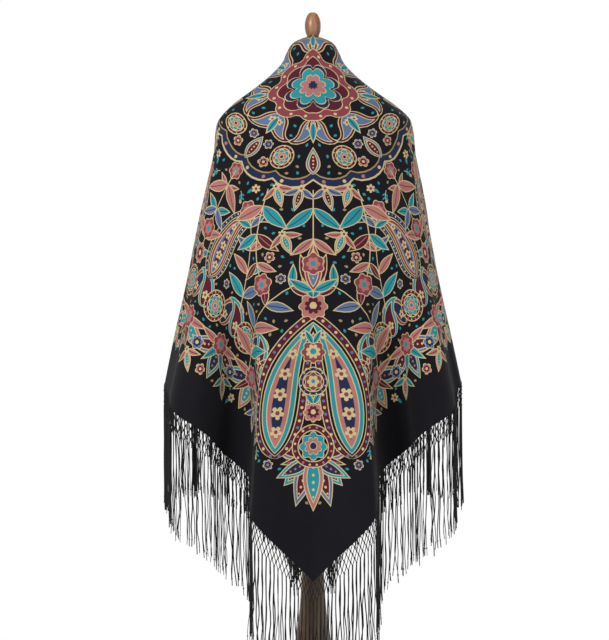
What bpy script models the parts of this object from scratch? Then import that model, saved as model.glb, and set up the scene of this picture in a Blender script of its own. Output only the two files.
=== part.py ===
"""A square wool shawl with a knotted fringe, folded to a triangle and worn on a dress form.

Metres, +Z up. The origin is on the floor under the form's neck, and the back of the shawl
faces -Y. The cloth is worked out from the flat square: straight lines on the cloth (rulings)
run down from the fold at the neck, over the shoulders, to the hem. A ruling's number is its
share of the quarter turn between straight down the back (0) and along the front edge (1),
positive on the right as seen from behind and negative on the left. A place on the cloth is
its ruling and its run, the distance down that ruling.
"""

import math

import bmesh
import bpy
import numpy as np

# The flat shawl
SIDE = 1.48
HALF_DIAGONAL = SIDE / math.sqrt(2)
FOLD_BACK = 0.135  # how far the fold lies past the middle of the square
NECK_RUN = 0.09  # length of the fold that lies on the neck, from the middle to one side
NET_DROP = 0.045  # the fringe's knotted heading
STRAND_DROP = 0.205  # its free strands

# How it is worn
WALL = 0.0015
GAP = 0.0003
FRINGE_GAP = 0.0008  # measured straight down, more than GAP because the hem is steep in places
LAYER_GAP = 0.0008
NECK_DROP = 0.050  # how far down the neck the fold has come where it leaves the neck
NECK_TRIM = 0.030  # the fan of rulings at the neck starts this far from its point
PANEL = 0.125  # half width of the middle of the back, which lies flat
FOLD_START = 0.40  # the folds grow from this run to the hem
FLARE = 0.60  # how fast the folded section narrows upwards, per metre
SEAM = 0.165  # the ruling between the back stretch and a side stretch, in a trough

# The worn cloth with its folds smoothed out: level, half width, depth behind and in front
OUTLINE = (
    (1.503, 0.0210, 0.021, 0.021),
    (1.490, 0.0405, 0.041, 0.041),
    (1.467, 0.0560, 0.056, 0.056),
    (1.445, 0.0660, 0.063, 0.064),
    (1.423, 0.0857, 0.071, 0.074),
    (1.393, 0.1212, 0.083, 0.088),
    (1.350, 0.1797, 0.100, 0.108),
    (1.322, 0.2060, 0.112, 0.122),
    (1.300, 0.2115, 0.121, 0.131),
    (1.260, 0.2153, 0.134, 0.146),
    (1.176, 0.2320, 0.152, 0.168),
    (1.051, 0.2581, 0.175, 0.190),
    (0.946, 0.2780, 0.190, 0.205),
    (0.842, 0.3031, 0.202, 0.218),
    (0.748, 0.3180, 0.212, 0.228),
    (0.600, 0.3320, 0.225, 0.240),
    (0.200, 0.3500, 0.250, 0.255),
)

# The front edge: run from the neck, and its bearing in degrees from straight behind
FRONT_EDGE = (
    (0.000, 108.0),
    (0.030, 126.0),
    (0.080, 148.0),
    (0.150, 162.0),
    (0.250, 168.5),
    (0.400, 172.5),
    (0.600, 174.5),
    (1.300, 175.5),
)

# The hem seen from above, from the middle of the back to the front edge: ruling, x, y
HEM_RIGHT = (
    (0.000, 0.000, -0.222),
    (0.024, 0.045, -0.227),
    (0.048, 0.090, -0.236),
    (0.070, 0.124, -0.226),
    (0.090, 0.133, -0.190),
    (0.110, 0.134, -0.150),
    (0.133, 0.141, -0.108),
    (0.152, 0.160, -0.080),
    (0.165, 0.178, -0.076),
    (0.188, 0.203, -0.100),
    (0.209, 0.216, -0.138),
    (0.240, 0.245, -0.168),
    (0.268, 0.278, -0.158),
    (0.300, 0.298, -0.117),
    (0.325, 0.297, -0.078),
    (0.350, 0.303, -0.045),
    (0.380, 0.317, -0.018),
    (0.410, 0.316, 0.022),
    (0.437, 0.290, 0.048),
    (0.462, 0.262, 0.062),
    (0.490, 0.252, 0.092),
    (0.525, 0.257, 0.134),
    (0.560, 0.236, 0.164),
    (0.588, 0.205, 0.154),
    (0.618, 0.186, 0.121),
    (0.645, 0.163, 0.116),
    (0.675, 0.152, 0.151),
    (0.705, 0.149, 0.192),
    (0.735, 0.122, 0.211),
    (0.762, 0.097, 0.186),
    (0.790, 0.087, 0.151),
    (0.815, 0.066, 0.143),
    (0.845, 0.055, 0.176),
    (0.880, 0.051, 0.213),
    (0.911, 0.040, 0.228),
    (0.955, 0.028, 0.222),
    (1.000, 0.014, 0.232),
)
HEM_LEFT = (
    (0.000, 0.000, -0.222),
    (0.024, 0.045, -0.226),
    (0.048, 0.090, -0.234),
    (0.070, 0.124, -0.227),
    (0.090, 0.130, -0.192),
    (0.110, 0.128, -0.151),
    (0.133, 0.138, -0.112),
    (0.152, 0.161, -0.090),
    (0.165, 0.179, -0.089),
    (0.188, 0.199, -0.112),
    (0.209, 0.212, -0.143),
    (0.240, 0.243, -0.176),
    (0.268, 0.278, -0.164),
    (0.300, 0.300, -0.126),
    (0.325, 0.303, -0.088),
    (0.350, 0.311, -0.052),
    (0.380, 0.318, -0.018),
    (0.410, 0.311, 0.020),
    (0.437, 0.283, 0.040),
    (0.462, 0.262, 0.060),
    (0.490, 0.258, 0.094),
    (0.525, 0.256, 0.138),
    (0.560, 0.229, 0.170),
    (0.588, 0.200, 0.160),
    (0.618, 0.184, 0.124),
    (0.645, 0.164, 0.110),
    (0.675, 0.150, 0.140),
    (0.705, 0.144, 0.184),
    (0.735, 0.118, 0.205),
    (0.762, 0.096, 0.186),
    (0.790, 0.085, 0.158),
    (0.815, 0.067, 0.151),
    (0.845, 0.057, 0.183),
    (0.880, 0.050, 0.218),
    (0.911, 0.038, 0.232),
    (0.955, 0.026, 0.226),
    (1.000, 0.012, 0.236),
)

# Fineness of the solids
UNDER_ROWS = (0.0, 0.04, 0.11, 0.18, 0.25, 0.32, 0.39, 0.50, 0.65, 0.82, 1.0)  # shares of the run
LOWER_ROWS = 4
MAIN_STRANDS = 68
END_STRANDS = 8
UNDER_STRANDS = 34
STRAND = 0.0026
UNDER_SET_BACK = 0.008  # the under fringe hangs this far inside the outer layer
UNDER_FRINGE_END = 0.985
ROUND_SIDES = 28

# Dress form: level, half width, depth behind and in front
TORSO = (
    (0.800, 0.150, 0.092, 0.088),
    (0.806, 0.162, 0.102, 0.096),
    (0.860, 0.172, 0.112, 0.104),
    (0.930, 0.160, 0.102, 0.102),
    (1.010, 0.130, 0.080, 0.092),
    (1.060, 0.121, 0.074, 0.090),
    (1.130, 0.132, 0.086, 0.104),
    (1.200, 0.152, 0.098, 0.132),
    (1.255, 0.170, 0.102, 0.120),
    (1.300, 0.184, 0.098, 0.100),
    (1.325, 0.176, 0.090, 0.086),
    (1.350, 0.142, 0.080, 0.076),
    (1.385, 0.094, 0.067, 0.064),
    (1.410, 0.064, 0.056, 0.056),
    (1.430, 0.052, 0.054, 0.050),
    (1.455, 0.050, 0.0547, 0.048),
)

# Turned wood: radius, level, from the top down
CAP = ((0.012, 1.4880), (0.022, 1.4868), (0.033, 1.4800), (0.042, 1.4690), (0.046, 1.4553))
FINIAL = (
    (0.0025, 1.5540),
    (0.0085, 1.5515),
    (0.0135, 1.5440),
    (0.0168, 1.5330),
    (0.0174, 1.5240),
    (0.0162, 1.5130),
    (0.0134, 1.5040),
    (0.0112, 1.4960),
    (0.0112, 1.4883),
)
COLUMN = (
    (0.034, 0.7997),
    (0.034, 0.7780),
    (0.027, 0.7700),
    (0.023, 0.7300),
    (0.022, 0.5600),
    (0.023, 0.4200),
    (0.024, 0.3500),
    (0.028, 0.2800),
    (0.033, 0.2350),
    (0.042, 0.1800),
    (0.046, 0.1400),
    (0.041, 0.1050),
    (0.033, 0.0850),
    (0.040, 0.0700),
    (0.056, 0.0560),
    (0.060, 0.0463),
)
BASE = ((0.070, 0.0460), (0.120, 0.0420), (0.172, 0.0340), (0.196, 0.0240), (0.200, 0.0140), (0.194, 0.0))

# Materials: colour, roughness
PRINTED_WOOL = ("printed wool", (0.060, 0.045, 0.045, 1), 0.85)
BLACK_WOOL = ("black wool", (0.012, 0.012, 0.014, 1), 0.85)
BLACK_SILK = ("black silk", (0.008, 0.008, 0.009, 1), 0.55)
DARK_LINEN = ("dark linen", (0.020, 0.020, 0.022, 1), 0.90)
PALE_WOOD = ("pale wood", (0.420, 0.215, 0.095, 1), 0.35)
DARK_WOOD = ("dark wood", (0.130, 0.058, 0.014, 1), 0.40)


def read(table, column, at):
    """A column of a table at values of its first column, on a smooth curve through its rows."""
    rows = np.array(sorted(table), float)
    x, y = rows[:, 0], rows[:, column]
    slope = np.gradient(y, x)
    at = np.clip(at, x[0], x[-1])
    i = np.clip(np.searchsorted(x, at) - 1, 0, len(x) - 2)
    span = x[i + 1] - x[i]
    f = (at - x[i]) / span
    near = (1 + 2 * f) * (1 - f) ** 2 * y[i] + f * (1 - f) ** 2 * span * slope[i]
    far = f**2 * (3 - 2 * f) * y[i + 1] + f**2 * (f - 1) * span * slope[i + 1]
    return near + far


def smooth(x):
    x = np.clip(x, 0, 1)
    return x * x * (3 - 2 * x)


def neck_share(ruling):
    """Where a ruling leaves the neck, as a share of NECK_RUN."""
    return 1 - (1 - np.abs(ruling)) ** 3


def lower_hem(ruling, reach):
    angle = np.abs(ruling) * math.pi / 2
    return (reach - NECK_RUN * neck_share(ruling)) / (np.sin(angle) + np.cos(angle))


def hem_run(ruling):
    """The run at the outer layer's hem: down to the side corner, then back up to the fold's end."""
    angle = np.abs(ruling) * math.pi / 2
    across = np.maximum(np.sin(angle) - np.cos(angle), 1e-6)
    upper = (HALF_DIAGONAL - FOLD_BACK - NECK_RUN * neck_share(ruling)) / across
    return np.minimum(lower_hem(ruling, HALF_DIAGONAL + FOLD_BACK), upper)


def under_hem_run(ruling):
    """The run at the under layer's hem. The fold makes that layer the shorter one."""
    return lower_hem(ruling, HALF_DIAGONAL - FOLD_BACK)


def level_at(column, run):
    """The level reached by a run down the outline's profile."""
    levels = np.linspace(OUTLINE[0][0], OUTLINE[-1][0], 800)
    depth = read(OUTLINE, column, levels)
    down = np.concatenate([[0], np.cumsum(np.hypot(np.diff(levels), np.diff(depth)))])
    return np.interp(run, down, levels)


def bearing_at(way, width, depth, edge, total):
    """The bearing at a way round an ellipse from its back, where the front edge is at total."""
    steps = np.linspace(0, 1, 61)
    t = edge[..., None] * steps
    speed = np.hypot(width[..., None] * np.cos(t), depth[..., None] * np.sin(t))
    parts = (speed[..., 1:] + speed[..., :-1]) / 2 * edge[..., None] / 60
    arc = np.cumsum(parts, axis=-1)
    whole = arc[..., -1]
    panel = np.minimum(PANEL, 0.5 * total)
    spare = (total - whole) * np.clip((way - panel) / (total - panel), 0, 1)
    goal = np.clip(way - spare, 0, whole)
    i = np.minimum((arc < goal[..., None]).sum(-1), 59)
    after = np.take_along_axis(arc, i[..., None], -1)[..., 0]
    part = np.take_along_axis(parts, i[..., None], -1)[..., 0]
    return edge * (i + 1 - (after - goal) / part) / 60


def place(ruling, run):
    """The point of the cloth's outer face at a ruling and run, both arrays of one shape."""
    ruling, run = np.broadcast_arrays(np.asarray(ruling, float), np.asarray(run, float))
    r = np.abs(ruling)
    side = np.where(ruling < 0, -1.0, 1.0)
    way = NECK_RUN * neck_share(r) + run * r * math.pi / 2
    total = NECK_RUN + run * math.pi / 2
    down = NECK_DROP * neck_share(r) + run
    mean = level_at(1, NECK_DROP / 2 + run)
    edge = np.radians(read(FRONT_EDGE, 1, run))
    t = bearing_at(way, read(OUTLINE, 1, mean), read(OUTLINE, 2, mean), edge, total)
    behind = np.cos(t) > 0
    across = np.sin(t) ** 2
    level = level_at(1, down) * across
    level = level + np.where(behind, level_at(2, down), level_at(3, down)) * (1 - across)
    depth = np.where(behind, read(OUTLINE, 2, level), read(OUTLINE, 3, level))
    x = read(OUTLINE, 1, level) * np.sin(t)
    y = -depth * np.cos(t)
    short = hem_run(r) - run
    folded = smooth(1 - short / (hem_run(r) - FOLD_START))
    narrow = 1 - FLARE * short
    hem_x = np.where(ruling < 0, read(HEM_LEFT, 1, r), read(HEM_RIGHT, 1, r)) * narrow
    hem_y = np.where(ruling < 0, read(HEM_LEFT, 2, r), read(HEM_RIGHT, 2, r)) * narrow
    x = x + (hem_x - x) * folded
    y = y + (hem_y - y) * folded
    return np.stack([x * side, y, level], axis=-1)


def outward(ruling, run):
    """The cloth's outward unit normal."""
    ruling = np.asarray(ruling, float)
    step = 0.004
    ahead = place(np.clip(ruling + step, -1, 1), run)
    behind = place(np.clip(ruling - step, -1, 1), run)
    lower = place(ruling, run + step)
    upper = place(ruling, np.maximum(run - step, 0))
    normal = np.cross(lower - upper, ahead - behind)
    return normal / np.linalg.norm(normal, axis=-1, keepdims=True)


def material(look):
    name, colour, roughness = look
    made = bpy.data.materials.get(name) or bpy.data.materials.new(name)
    made.use_nodes = True
    shader = made.node_tree.nodes["Principled BSDF"]
    shader.inputs["Base Color"].default_value = colour
    shader.inputs["Roughness"].default_value = roughness
    return made


def solid(name, vertices, faces, look):
    """One object from the points and faces of a closed body."""
    mesh = bpy.data.meshes.new(name)
    mesh.from_pydata([tuple(map(float, v)) for v in vertices], [], faces)
    shape = bmesh.new()
    shape.from_mesh(mesh)
    bmesh.ops.recalc_face_normals(shape, faces=shape.faces)
    shape.to_mesh(mesh)
    shape.free()
    mesh.shade_smooth()
    mesh.set_sharp_from_angle(angle=math.radians(50))
    mesh.materials.append(material(look))
    made = bpy.data.objects.new(name, mesh)
    bpy.context.scene.collection.objects.link(made)
    return made


def wall(name, rulings, runs, outside, look):
    """A wall of cloth over a grid of rulings and runs, its outer face set in by outside."""
    ruling = np.broadcast_to(rulings, runs.shape)
    points, normals = place(ruling, runs), outward(ruling, runs)
    outer = points - normals * outside
    inner = points - normals * (outside + WALL)
    rows, columns = runs.shape
    front = np.arange(rows * columns).reshape(rows, columns)
    back = front + rows * columns
    faces = []
    for sheet in (front, back):
        for i in range(rows - 1):
            for j in range(columns - 1):
                faces.append((sheet[i, j], sheet[i + 1, j], sheet[i + 1, j + 1], sheet[i, j + 1]))
    rim = list(front[0]) + list(front[1:, -1]) + list(front[-1, -2::-1]) + list(front[-2:0:-1, 0])
    step = rows * columns
    for a, b in zip(rim, rim[1:] + rim[:1]):
        faces.append((a, b, b + step, a + step))
    vertices = np.concatenate([outer.reshape(-1, 3), inner.reshape(-1, 3)])
    return solid(name, vertices, faces, look)


def cloth_runs(rulings):
    """Runs of the grid's rows, the under layer's first: both layers share them."""
    start = NECK_TRIM * rulings**2
    under, hem = under_hem_run(rulings), hem_run(rulings)
    upper = start + (under - start) * np.array(UNDER_ROWS)[:, None]
    lower = under + (hem - under) * np.linspace(0, 1, LOWER_ROWS + 1)[1:, None]
    return upper, np.concatenate([upper, lower])


def columns():
    """The rulings of the whole width's grid, from the left front edge to the right one."""
    right = np.array([row[0] for row in HEM_RIGHT])
    return np.concatenate([-right[:0:-1], right])


def along_hem(ruling, quantity):
    """A quantity of the outer layer's hem, which is straight from column to column."""
    grid = columns()
    values = quantity(grid, hem_run(grid))
    return np.stack([np.interp(ruling, grid, values[:, k]) for k in range(3)], axis=-1)


def straight_down(drop):
    return np.stack([0 * drop, 0 * drop, -drop], axis=-1)


def fringe(name, start, end, strands, under=False):
    """A fringe's heading below a hem, with its strands drawn down from the heading's lower edge."""

    def hang(ruling, drop):
        ruling, drop = np.broadcast_arrays(ruling, drop)
        if not under:
            return along_hem(ruling, place) + straight_down(drop)
        run = under_hem_run(ruling) + drop
        kept = np.minimum(run, hem_run(ruling) - 0.004)
        spot = place(ruling, kept) - outward(ruling, kept) * UNDER_SET_BACK
        return spot + straight_down(run - kept)

    rulings = np.linspace(start, end, 1200)
    steps = np.linalg.norm(np.diff(hang(rulings, 0.0), axis=0), axis=1)
    way = np.concatenate([[0], np.cumsum(steps)])
    middles = (np.arange(strands) + 0.5) / strands * way[-1]
    cuts = np.sort(np.concatenate([[STRAND, way[-1] - STRAND], middles - STRAND / 2, middles + STRAND / 2]))
    cut_rulings = np.interp(cuts, way, rulings)
    facing = outward(cut_rulings, under_hem_run(cut_rulings)) if under else along_hem(cut_rulings, outward)
    facing = facing * (1, 1, 0)
    facing /= np.linalg.norm(facing, axis=-1, keepdims=True)
    upper, lower = hang(cut_rulings, FRINGE_GAP), hang(cut_rulings, NET_DROP)
    half = facing * STRAND / 2
    rings = np.stack([upper + half, lower + half, lower - half, upper - half], axis=1)
    vertices = list(rings.reshape(-1, 3))
    faces = [(3, 2, 1, 0), tuple(4 * (len(cuts) - 1) + k for k in range(4))]
    for j in range(len(cuts) - 1):
        near, far = 4 * j, 4 * (j + 1)
        faces.append((near, near + 1, far + 1, far))
        faces.append((near + 2, near + 3, far + 3, far + 2))
        faces.append((near + 3, near, far, far + 3))
        ring = (near + 1, near + 2, far + 2, far + 1)
        if j % 2 == 0:
            faces.append(ring)
            continue
        top = np.mean([vertices[k] for k in ring], axis=0)
        middle = (cut_rulings[j] + cut_rulings[j + 1]) / 2
        corners = [np.array(vertices[k]) - top for k in ring]
        for share in (0.5, 1.0) if under else (1.0,):
            down = hang(middle, NET_DROP + STRAND_DROP * share) - hang(middle, NET_DROP)
            base = len(vertices)
            for corner in corners:
                vertices.append(top + down + corner * (1, 1, 0) * (1 - 0.25 * share))
            lower_ring = (base, base + 1, base + 2, base + 3)
            for k in range(4):
                faces.append((ring[k], ring[k - 1], lower_ring[k - 1], lower_ring[k]))
            ring = lower_ring
        faces.append(ring)
    return solid(name, vertices, faces, BLACK_SILK)


def rings_body(name, rings, look):
    """A closed body through rings of points, flat at both ends."""
    count = len(rings[0])
    vertices = [point for ring in rings for point in ring]
    last = len(vertices) - count
    faces = [tuple(range(count)), tuple(range(last + count - 1, last - 1, -1))]
    for i in range(len(rings) - 1):
        for j in range(count):
            a, b = i * count + j, i * count + (j + 1) % count
            faces.append((a, a + count, b + count, b))
    return solid(name, vertices, faces, look)


def turned(name, profile, look):
    angles = [2 * math.pi * k / ROUND_SIDES for k in range(ROUND_SIDES)]
    rings = [[(r * math.cos(a), r * math.sin(a), z) for a in angles] for r, z in profile]
    return rings_body(name, rings, look)


def torso():
    sides = ROUND_SIDES + 4
    rings = []
    for level, width, behind, front in TORSO:
        ring = []
        for k in range(sides):
            angle = 2 * math.pi * k / sides
            depth = front if math.sin(angle) > 0 else behind
            ring.append((width * math.cos(angle), depth * math.sin(angle), level))
        rings.append(ring)
    return rings_body("form_torso", rings, DARK_LINEN)


def shawl():
    right = np.array([row[0] for row in HEM_RIGHT])
    side = right[right > SEAM + 1e-9]
    seam = GAP / 2 / (hem_run(SEAM) * math.pi / 2) * 3
    stretches = {
        "shawl_left": np.concatenate([-side[::-1], [-SEAM - seam]]),
        "shawl_back": np.concatenate([-right[(right > 0) & (right < SEAM)][::-1], right[right < SEAM]]),
        "shawl_right": np.concatenate([[SEAM + seam], side]),
    }
    stretches["shawl_back"] = np.concatenate([[-SEAM + seam], stretches["shawl_back"], [SEAM - seam]])
    for name, rulings in stretches.items():
        wall(name, rulings, cloth_runs(rulings)[1], 0.0, PRINTED_WOOL)
    whole = columns()
    wall("shawl_under", whole, cloth_runs(whole)[0], WALL + LAYER_GAP, PRINTED_WOOL)


def fringes():
    rulings = np.linspace(0.6, 1, 4001)
    corner = rulings[np.argmax(hem_run(rulings))]
    clear = 0.002
    for name, sign in (("left", -1), ("right", 1)):
        fringe(f"fringe_{name}", sign * clear, sign * (corner - clear), MAIN_STRANDS)
        fringe(f"fringe_{name}_end", sign * (corner + clear), sign, END_STRANDS)
        fringe(f"fringe_{name}_under", sign * clear, sign * UNDER_FRINGE_END, UNDER_STRANDS, under=True)


for old in list(bpy.data.objects):
    bpy.data.objects.remove(old, do_unlink=True)

shawl()
fringes()
torso()
turned("form_cap", CAP, PALE_WOOD)
turned("form_finial", FINIAL, PALE_WOOD)
turned("form_column", COLUMN, DARK_WOOD)
turned("form_base", BASE, DARK_WOOD)
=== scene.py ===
# %% [markdown]
# A square wool shawl with a printed paisley design and a knotted silk fringe, folded to a
# triangle and worn on a dress form. The solids of the form and the cloth are loaded first. They
# are a fixed frame: every piece made below lies on them and never moves them.

import math

import bmesh
import bpy
import numpy as np
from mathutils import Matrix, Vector
from mathutils.geometry import delaunay_2d_cdt


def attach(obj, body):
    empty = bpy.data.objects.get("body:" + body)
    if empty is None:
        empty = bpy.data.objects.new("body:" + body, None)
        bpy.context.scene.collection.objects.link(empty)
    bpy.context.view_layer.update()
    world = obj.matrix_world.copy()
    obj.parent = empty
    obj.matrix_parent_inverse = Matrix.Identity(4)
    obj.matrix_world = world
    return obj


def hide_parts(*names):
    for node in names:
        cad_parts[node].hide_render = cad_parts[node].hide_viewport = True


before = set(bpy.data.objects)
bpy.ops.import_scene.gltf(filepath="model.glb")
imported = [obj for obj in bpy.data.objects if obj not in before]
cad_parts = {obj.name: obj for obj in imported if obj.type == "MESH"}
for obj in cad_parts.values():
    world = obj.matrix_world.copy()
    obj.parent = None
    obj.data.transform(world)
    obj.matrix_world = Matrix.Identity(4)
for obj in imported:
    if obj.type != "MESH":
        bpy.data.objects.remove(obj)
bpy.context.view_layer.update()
print("solids:", ", ".join(sorted(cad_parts)))

# %% [markdown]
# The camera comes first, because it decides what shows. It stands level with the middle of the
# shawl's back, a long way off, so that the sides look as straight as they do in a shop's picture.
# The lens is worked out from the height that the picture takes in at the shawl's distance.

# %% Camera
PICTURE_HEIGHT = 1.337
CAMERA_AWAY = 4.3
SENSOR = 36.0
AIM = Vector((-0.018, -0.12, 0.893))
camera_data = bpy.data.cameras.new("camera")
camera_data.sensor_width = SENSOR
camera_data.lens = SENSOR * CAMERA_AWAY / PICTURE_HEIGHT
camera = bpy.data.objects.new("camera", camera_data)
camera.location = AIM - Vector((0, CAMERA_AWAY, 0))
camera.rotation_euler = (math.radians(90), 0, 0)
bpy.context.scene.collection.objects.link(camera)
bpy.context.scene.camera = camera
print("lens", round(camera_data.lens, 1), "mm")

# %% [markdown]
# A material is a chain of shader nodes. To keep the chains readable, a wire between two nodes is
# wrapped in a small class: adding or multiplying two wires adds the node that does it. Numbers
# use Math nodes, vectors use Vector Math, and colours use Mix, because a Math node turns a colour
# grey. Every other node comes from one method, which sets the node's settings first.

# %% Wires and finishes
class Finish:
    """A material and its nodes."""

    def __init__(self, name):
        self.material = bpy.data.materials.new(name)
        self.material.use_nodes = True
        self.tree = self.material.node_tree
        self.tree.nodes.clear()

    def make(self, kind, settings=None, sockets=None, out=0):
        node = self.tree.nodes.new("ShaderNode" + kind)
        for name, value in (settings or {}).items():
            if name == "stops":
                for k, (place, colour) in enumerate(value):
                    stop = node.color_ramp.elements[k] if k < 2 else node.color_ramp.elements.new(place)
                    stop.position, stop.color = place, colour
            else:
                setattr(node, name, value)
        for name, value in (sockets or {}).items():
            if isinstance(value, Wire):
                self.tree.links.new(value.socket, node.inputs[name])
            else:
                node.inputs[name].default_value = value
        return Wire(self, node.outputs[out]) if node.outputs else None

    def surface(self, sockets):
        self.make("OutputMaterial", {}, {"Surface": self.make("BsdfPrincipled", {}, sockets)})
        return self.material


class Wire:
    """An output socket, with the operators that the finishes use."""

    def __init__(self, finish, socket):
        self.finish, self.socket = finish, socket

    def join(self, operation, first, second):
        kinds = {w.socket.type for w in (first, second) if isinstance(w, Wire)}
        if "RGBA" in kinds:
            settings = {"data_type": "RGBA", "blend_type": operation}
            return self.finish.make("Mix", settings, {0: 1.0, 6: first, 7: second}, out=2)
        if "VECTOR" in kinds:
            return self.finish.make("VectorMath", {"operation": operation}, {0: first, 1: second})
        return self.finish.make("Math", {"operation": operation}, {0: first, 1: second})

    def __add__(self, other):
        return self.join("ADD", self, other)

    def __radd__(self, other):
        return self.join("ADD", other, self)

    def __sub__(self, other):
        return self.join("SUBTRACT", self, other)

    def __rsub__(self, other):
        return self.join("SUBTRACT", other, self)

    def __mul__(self, other):
        return self.join("MULTIPLY", self, other)

    def __rmul__(self, other):
        return self.join("MULTIPLY", other, self)


print("operators ready")

# %% [markdown]
# The shawl is one flat square, so its worn shape is best given as a rule that takes a place on the
# flat cloth to a point in space. Then the print can be drawn flat, where it is easy, and worn
# afterwards. The cloth hangs in straight lines, called rulings here, that fan out from the neck.
# A ruling's number is its share of the quarter turn from straight down the back (0) to the front
# edge (1). A run is the distance down it. These sizes repeat those of the solids.

# %% Sizes of the flat shawl and of the wearing
SIDE = 1.48
HALF_DIAGONAL = SIDE / math.sqrt(2)
FOLD_BACK = 0.135
NECK_RUN = 0.09
NECK_DROP = 0.050
NET_DROP = 0.045
STRAND_DROP = 0.205
PANEL = 0.125
FOLD_START = 0.40
FLARE = 0.60
SEAM = 0.165
WALL = 0.0015
LAYER_GAP = 0.0008

# level, half width, depth behind and in front
OUTLINE = (
    (1.503, 0.0210, 0.021, 0.021),
    (1.490, 0.0405, 0.041, 0.041),
    (1.467, 0.0560, 0.056, 0.056),
    (1.445, 0.0660, 0.063, 0.064),
    (1.423, 0.0857, 0.071, 0.074),
    (1.393, 0.1212, 0.083, 0.088),
    (1.350, 0.1797, 0.100, 0.108),
    (1.322, 0.2060, 0.112, 0.122),
    (1.300, 0.2115, 0.121, 0.131),
    (1.260, 0.2153, 0.134, 0.146),
    (1.176, 0.2320, 0.152, 0.168),
    (1.051, 0.2581, 0.175, 0.190),
    (0.946, 0.2780, 0.190, 0.205),
    (0.842, 0.3031, 0.202, 0.218),
    (0.748, 0.3180, 0.212, 0.228),
    (0.600, 0.3320, 0.225, 0.240),
    (0.200, 0.3500, 0.250, 0.255),
)

# The front edge: run, bearing in degrees from straight behind
FRONT_EDGE = (
    (0.000, 108.0),
    (0.030, 126.0),
    (0.080, 148.0),
    (0.150, 162.0),
    (0.250, 168.5),
    (0.400, 172.5),
    (0.600, 174.5),
    (1.300, 175.5),
)

# The hem seen from above, from the middle of the back to the front edge: ruling, x, y
HEM_RIGHT = (
    (0.000, 0.000, -0.222),
    (0.024, 0.045, -0.227),
    (0.048, 0.090, -0.236),
    (0.070, 0.124, -0.226),
    (0.090, 0.133, -0.190),
    (0.110, 0.134, -0.150),
    (0.133, 0.141, -0.108),
    (0.152, 0.160, -0.080),
    (0.165, 0.178, -0.076),
    (0.188, 0.203, -0.100),
    (0.209, 0.216, -0.138),
    (0.240, 0.245, -0.168),
    (0.268, 0.278, -0.158),
    (0.300, 0.298, -0.117),
    (0.325, 0.297, -0.078),
    (0.350, 0.303, -0.045),
    (0.380, 0.317, -0.018),
    (0.410, 0.316, 0.022),
    (0.437, 0.290, 0.048),
    (0.462, 0.262, 0.062),
    (0.490, 0.252, 0.092),
    (0.525, 0.257, 0.134),
    (0.560, 0.236, 0.164),
    (0.588, 0.205, 0.154),
    (0.618, 0.186, 0.121),
    (0.645, 0.163, 0.116),
    (0.675, 0.152, 0.151),
    (0.705, 0.149, 0.192),
    (0.735, 0.122, 0.211),
    (0.762, 0.097, 0.186),
    (0.790, 0.087, 0.151),
    (0.815, 0.066, 0.143),
    (0.845, 0.055, 0.176),
    (0.880, 0.051, 0.213),
    (0.911, 0.040, 0.228),
    (0.955, 0.028, 0.222),
    (1.000, 0.014, 0.232),
)
HEM_LEFT = (
    (0.000, 0.000, -0.222),
    (0.024, 0.045, -0.226),
    (0.048, 0.090, -0.234),
    (0.070, 0.124, -0.227),
    (0.090, 0.130, -0.192),
    (0.110, 0.128, -0.151),
    (0.133, 0.138, -0.112),
    (0.152, 0.161, -0.090),
    (0.165, 0.179, -0.089),
    (0.188, 0.199, -0.112),
    (0.209, 0.212, -0.143),
    (0.240, 0.243, -0.176),
    (0.268, 0.278, -0.164),
    (0.300, 0.300, -0.126),
    (0.325, 0.303, -0.088),
    (0.350, 0.311, -0.052),
    (0.380, 0.318, -0.018),
    (0.410, 0.311, 0.020),
    (0.437, 0.283, 0.040),
    (0.462, 0.262, 0.060),
    (0.490, 0.258, 0.094),
    (0.525, 0.256, 0.138),
    (0.560, 0.229, 0.170),
    (0.588, 0.200, 0.160),
    (0.618, 0.184, 0.124),
    (0.645, 0.164, 0.110),
    (0.675, 0.150, 0.140),
    (0.705, 0.144, 0.184),
    (0.735, 0.118, 0.205),
    (0.762, 0.096, 0.186),
    (0.790, 0.085, 0.158),
    (0.815, 0.067, 0.151),
    (0.845, 0.057, 0.183),
    (0.880, 0.050, 0.218),
    (0.911, 0.038, 0.232),
    (0.955, 0.026, 0.226),
    (1.000, 0.012, 0.236),
)
print("flat square", SIDE, "m, half diagonal", round(HALF_DIAGONAL, 4), "m")

# %% [markdown]
# Each table above is a few rows that a smooth curve runs through. The worn place of a point
# comes in three steps: how far round the body its ruling has got at that run, how far down the
# body's profile the run reaches, and how much of the folded hem section to mix in. The folds
# grow from nothing at the shoulder blades to their full depth at the hem.

# %% The wearing rule
def read(table, column, at):
    rows = np.array(table, float)
    rows = rows[rows[:, 0].argsort()]
    x, y = rows[:, 0], rows[:, column]
    slope = np.gradient(y, x)
    at = np.clip(at, x[0], x[-1])
    i = np.clip(np.searchsorted(x, at) - 1, 0, len(x) - 2)
    span = x[i + 1] - x[i]
    f = (at - x[i]) / span
    near = (1 + 2 * f) * (1 - f) ** 2 * y[i] + f * (1 - f) ** 2 * span * slope[i]
    far = f**2 * (3 - 2 * f) * y[i + 1] + f**2 * (f - 1) * span * slope[i + 1]
    return near + far


def smooth(x):
    x = np.clip(x, 0, 1)
    return x * x * (3 - 2 * x)


def neck_share(ruling):
    return 1 - (1 - np.abs(ruling)) ** 3


def lower_hem(ruling, reach):
    angle = np.abs(ruling) * math.pi / 2
    return (reach - NECK_RUN * neck_share(ruling)) / (np.sin(angle) + np.cos(angle))


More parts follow.
